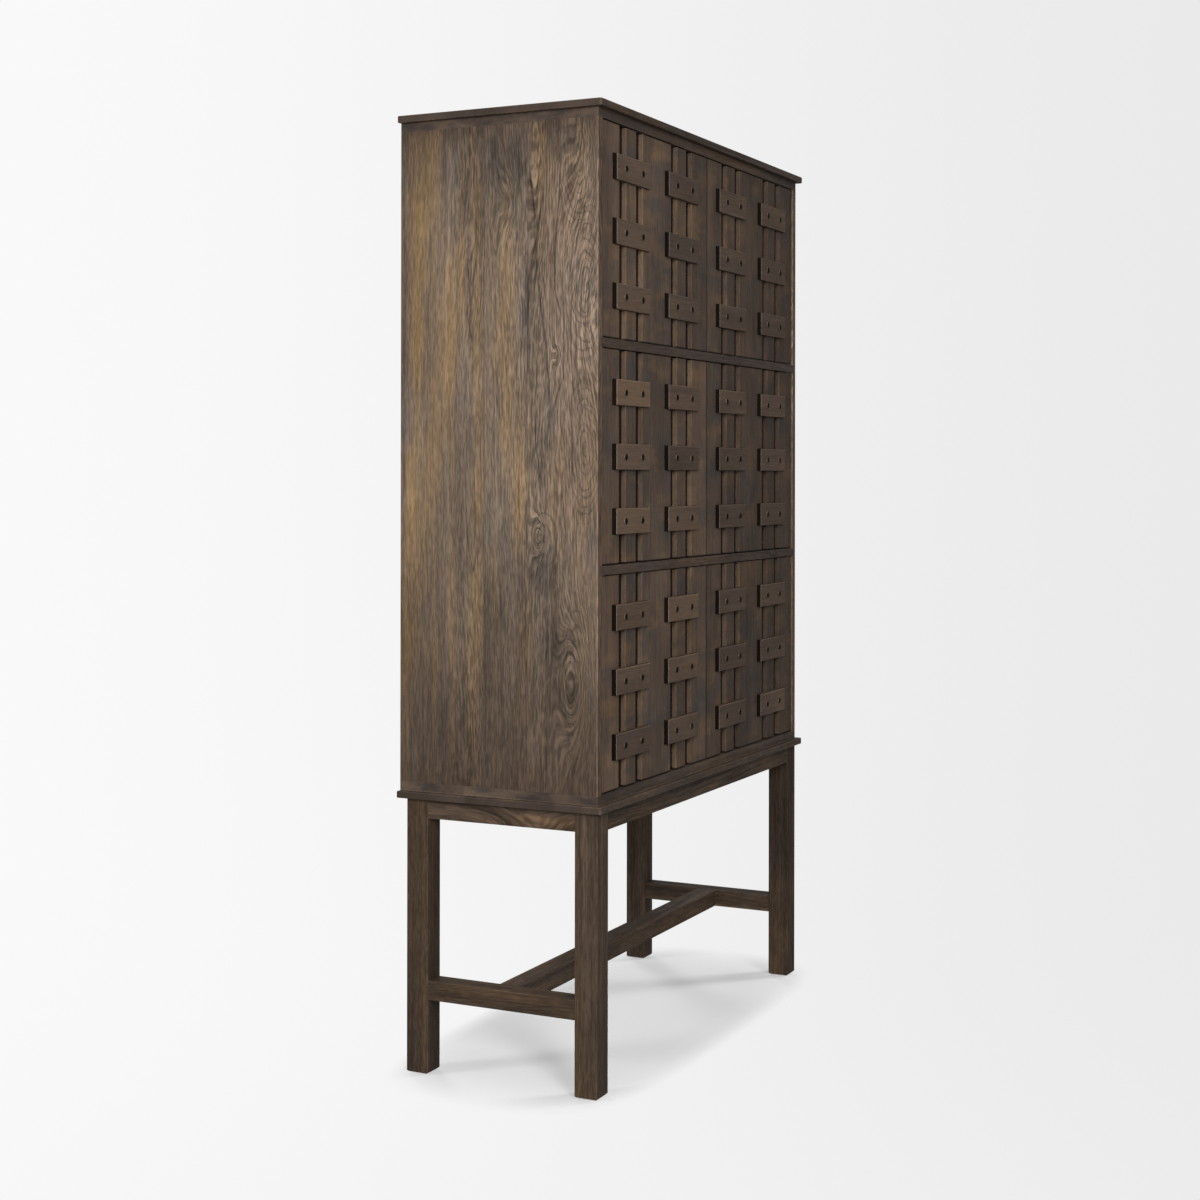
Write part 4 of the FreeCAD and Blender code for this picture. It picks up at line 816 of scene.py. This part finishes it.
# The blocks that are clearly paler: how far to the right, how high, and by how much.
PALE_BLOCKS = ((-0.3825, 1.348, 0.90), (-0.3825, 1.098, 0.55), (-0.1355, 0.912, 0.50),
               (-0.3825, 1.223, 0.30))
BLOCK_DARK = (0.070, 0.049, 0.038, 1)
LOT_STEPS = (5.37, 3.71)


def block_marks(tree, colour, axes, facing):
    """Each block has its own shade, and a few on the left are clearly paler."""
    column = reckon(tree, "FLOOR", times(tree, axes["X"], 0.5 / COLUMN_ASIDE))
    tier = reckon(tree, "ROUND", times(tree, axes["Z"], 1 / BLOCK_RISE))
    lot = cloud(tree, times(tree, column, LOT_STEPS[0]), times(tree, tier, LOT_STEPS[1]),
                0.5, 0.0)
    spread = ease(tree, axes["X"], -0.05, 0.05, 1.0, 0.45)
    pale = times(tree, ease(tree, lot, 0.50, 0.70, 0.0, 0.20), spread)
    for at, height, share in PALE_BLOCKS:
        aside = reckon(tree, "ABSOLUTE", reckon(tree, "SUBTRACT", axes["X"], at))
        above = reckon(tree, "ABSOLUTE", reckon(tree, "SUBTRACT", axes["Z"], height))
        here = times(tree, reckon(tree, "LESS_THAN", aside, BLOCK_RISE * 0.8),
                     reckon(tree, "LESS_THAN", above, BLOCK_RISE / 2))
        pale = reckon(tree, "MULTIPLY_ADD", here, share, pale)
    dark = times(tree, ease(tree, lot, 0.28, 0.50, 0.65, 0.0), spread)
    return mixed(tree, pale, mixed(tree, dark, colour, BLOCK_DARK), BLOCK_PALE)


for seed, door in enumerate(DOORS, 91):
    dress(f"{door}_blocks", wood(f"{door}_block_wood", "XZY", seed, DOOR_TONES, DOOR_RUB,
                                 fleck=0.06, lines=0.05, smudges=0.12, end_dark=0.05, edge=1.6,
                                 paler=BLOCK_SHADES[door.split("_")[-1]], marks=block_marks))

# Pegs. Two to a block, one over each groove: round pegs of a nearly black hardwood, driven in and
# rounded over at the rim. The rim is painted pale, a painted highlight that the light picks out
# on one side.

PEG_TONES = ((0.005, 0.004, 0.003), (0.007, 0.005, 0.004), (0.010, 0.007, 0.005))
# The pale rim colour: a painted highlight.
PEG_RIM_HIGHLIGHT = (0.150, 0.106, 0.076, 1)
PEG_WIDE = 0.013
PEG_SIDE = 0.0012
PEG_ROUND = 0.0012
PEG_RISE = 0.0030
PEG_SUNK = 0.0040
RIM_STEPS = 5
DOME_STEPS = 5
PEG_STEPS = 28
BLOCK_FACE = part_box("door_lower_left_blocks")[0][1]


def peg_heads(name, door):
    """All the peg heads of one door, each a dome with a short shank sunk in its block."""
    low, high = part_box(f"{door}_panel")
    middle_x, middle_z = (low[0] + high[0]) / 2, (low[2] + high[2]) / 2
    flat = PEG_WIDE / 2 - PEG_ROUND
    shoulder = PEG_SIDE + PEG_ROUND
    bend = [step * math.pi / 2 / RIM_STEPS for step in range(RIM_STEPS + 1)]
    profile = [(flat * step / DOME_STEPS,
                shoulder + (PEG_RISE - shoulder) * (1 - (step / DOME_STEPS) ** 2))
               for step in range(DOME_STEPS)]
    profile += [(flat + PEG_ROUND * math.sin(turn), PEG_SIDE + PEG_ROUND * math.cos(turn))
                for turn in bend]
    profile += [(PEG_WIDE / 2, -PEG_SUNK), (0, -PEG_SUNK)]
    heads = turned(name, profile, PEG_STEPS)
    head = heads.data
    shape = bmesh.new()
    for column in (-COLUMN_ASIDE, COLUMN_ASIDE):
        for aside in (-GROOVE_ASIDE, GROOVE_ASIDE):
            for rise in (-BLOCK_RISE, 0, BLOCK_RISE):
                kept = len(shape.verts)
                shape.from_mesh(head)
                shape.verts.ensure_lookup_table()
                place = Vector((middle_x + column + aside, BLOCK_FACE, middle_z + rise))
                bmesh.ops.transform(
                    shape, verts=shape.verts[kept:],
                    matrix=Matrix.Translation(place) @ Matrix.Rotation(math.pi / 2, 4, "X"))
    shape.to_mesh(head)
    shape.free()
    return heads


def peg_marks(tree, colour, axes, facing):
    """The end grain took most of the stain, and the rim is painted pale: a painted highlight."""
    return mixed(tree, ease(tree, facing["Y"], 0.35, 0.75, 0.9, 0.0), colour, PEG_RIM_HIGHLIGHT)


for seed, door in enumerate(DOORS, 101):
    heads = peg_heads(f"{door}_peg_heads", door)
    heads.data.materials.append(wood(f"{door}_peg_wood", "YXZ", seed, PEG_TONES,
                                     PEG_TONES[2], end_dark=1.0, edge=1.0, gloss=0.04,
                                     marks=peg_marks))
    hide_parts(f"{door}_pegs")
    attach(heads, door)

# Inside the stand and the case. Pale beech corner blocks, screwed in behind the aprons,
# and beech dowels, glued in between the case boards. Neither was ever stained.

BEECH_TONES = ((0.38, 0.26, 0.16), (0.47, 0.33, 0.21), (0.54, 0.40, 0.27))
BEECH_RUB = (0.50, 0.34, 0.20)
for seed, (node, grain) in enumerate((("corner_blocks", "XYZ"), ("case_dowels", "ZXY")), 121):
    dress(node, wood(f"{node}_beech", grain, seed, BEECH_TONES, BEECH_RUB,
                     fleck=0.15, lines=0.1, edge=1.0))

# Metal parts. Zinc-plated screws, black zinc pivot pins and strike plates, brown brass
# bushes for the pins, and a dull magnet in each catch. All are bought in, and only handling
# has marked them.

SMEARS = 140
SCRATCHES = (900, 900, 160)
METAL_RELIEF = (0.15, 0.0001)


def metal(name, colour, roughness, spread):
    """Plated or turned metal, with faint smears and fine scratches."""
    finish, tree, surface = new_finish(name)
    axes = object_axes(tree)
    smear = cloud(tree, *[times(tree, axes[letter], SMEARS) for letter in "XYZ"], 3.0)
    scratch = cloud(tree, *[times(tree, axes[letter], turns)
                            for letter, turns in zip("XYZ", SCRATCHES)], 1.0)
    dull = tuple(0.7 * part for part in colour)
    join(tree, mixed(tree, ease(tree, smear, 0.35, 0.65), (*colour, 1), (*dull, 1)),
         surface.inputs["Base Color"])
    join(tree, ease(tree, smear, 0.3, 0.7, roughness - spread, roughness + spread),
         surface.inputs["Roughness"])
    surface.inputs["Metallic"].default_value = 1.0
    relieve(tree, surface, scratch, *METAL_RELIEF)
    return finish


black_zinc = metal("black_zinc_plate", (0.060, 0.058, 0.056), 0.42, 0.10)
zinc = metal("zinc_plate", (0.62, 0.62, 0.60), 0.38, 0.10)
brass = metal("turned_brass", (0.36, 0.25, 0.11), 0.38, 0.08)
magnet = metal("dull_magnet", (0.22, 0.22, 0.23), 0.45, 0.10)
for node in ("corner_screws", "stand_screws", "case_screws", "back_screws"):
    dress(node, zinc)
for door in DOORS:
    dress(f"{door}_pivots", black_zinc)
    dress(f"{door}_strike", black_zinc)
dress("pivot_bushes", brass)
dress("catch_magnets", magnet)

# Moulded parts. Dark brown bodies for the magnetic catches behind the doors, and pale nylon
# glides nailed under the legs, both with a fine grain from the mould.

MOULD_GRAIN = 1600
MOULD_CAST = 60
MOULD_RELIEF = (0.2, 0.0001)


def moulded(name, colour, roughness):
    """Moulded plastic with a fine, even grain."""
    finish, tree, surface = new_finish(name)
    axes = object_axes(tree)
    grain = cloud(tree, *[times(tree, axes[letter], MOULD_GRAIN) for letter in "XYZ"], 2.0)
    cast = cloud(tree, *[times(tree, axes[letter], MOULD_CAST) for letter in "XYZ"], 2.0)
    paler = tuple(1.25 * part for part in colour)
    join(tree, mixed(tree, ease(tree, cast, 0.3, 0.7), (*colour, 1), (*paler, 1)),
         surface.inputs["Base Color"])
    join(tree, ease(tree, grain, 0.3, 0.7, roughness - 0.05, roughness + 0.08),
         surface.inputs["Roughness"])
    relieve(tree, surface, grain, *MOULD_RELIEF)
    return finish


dress("catch_bodies", moulded("brown_plastic", (0.045, 0.030, 0.022), 0.45))
dress("foot_glides", moulded("pale_nylon", (0.52, 0.50, 0.45), 0.50))
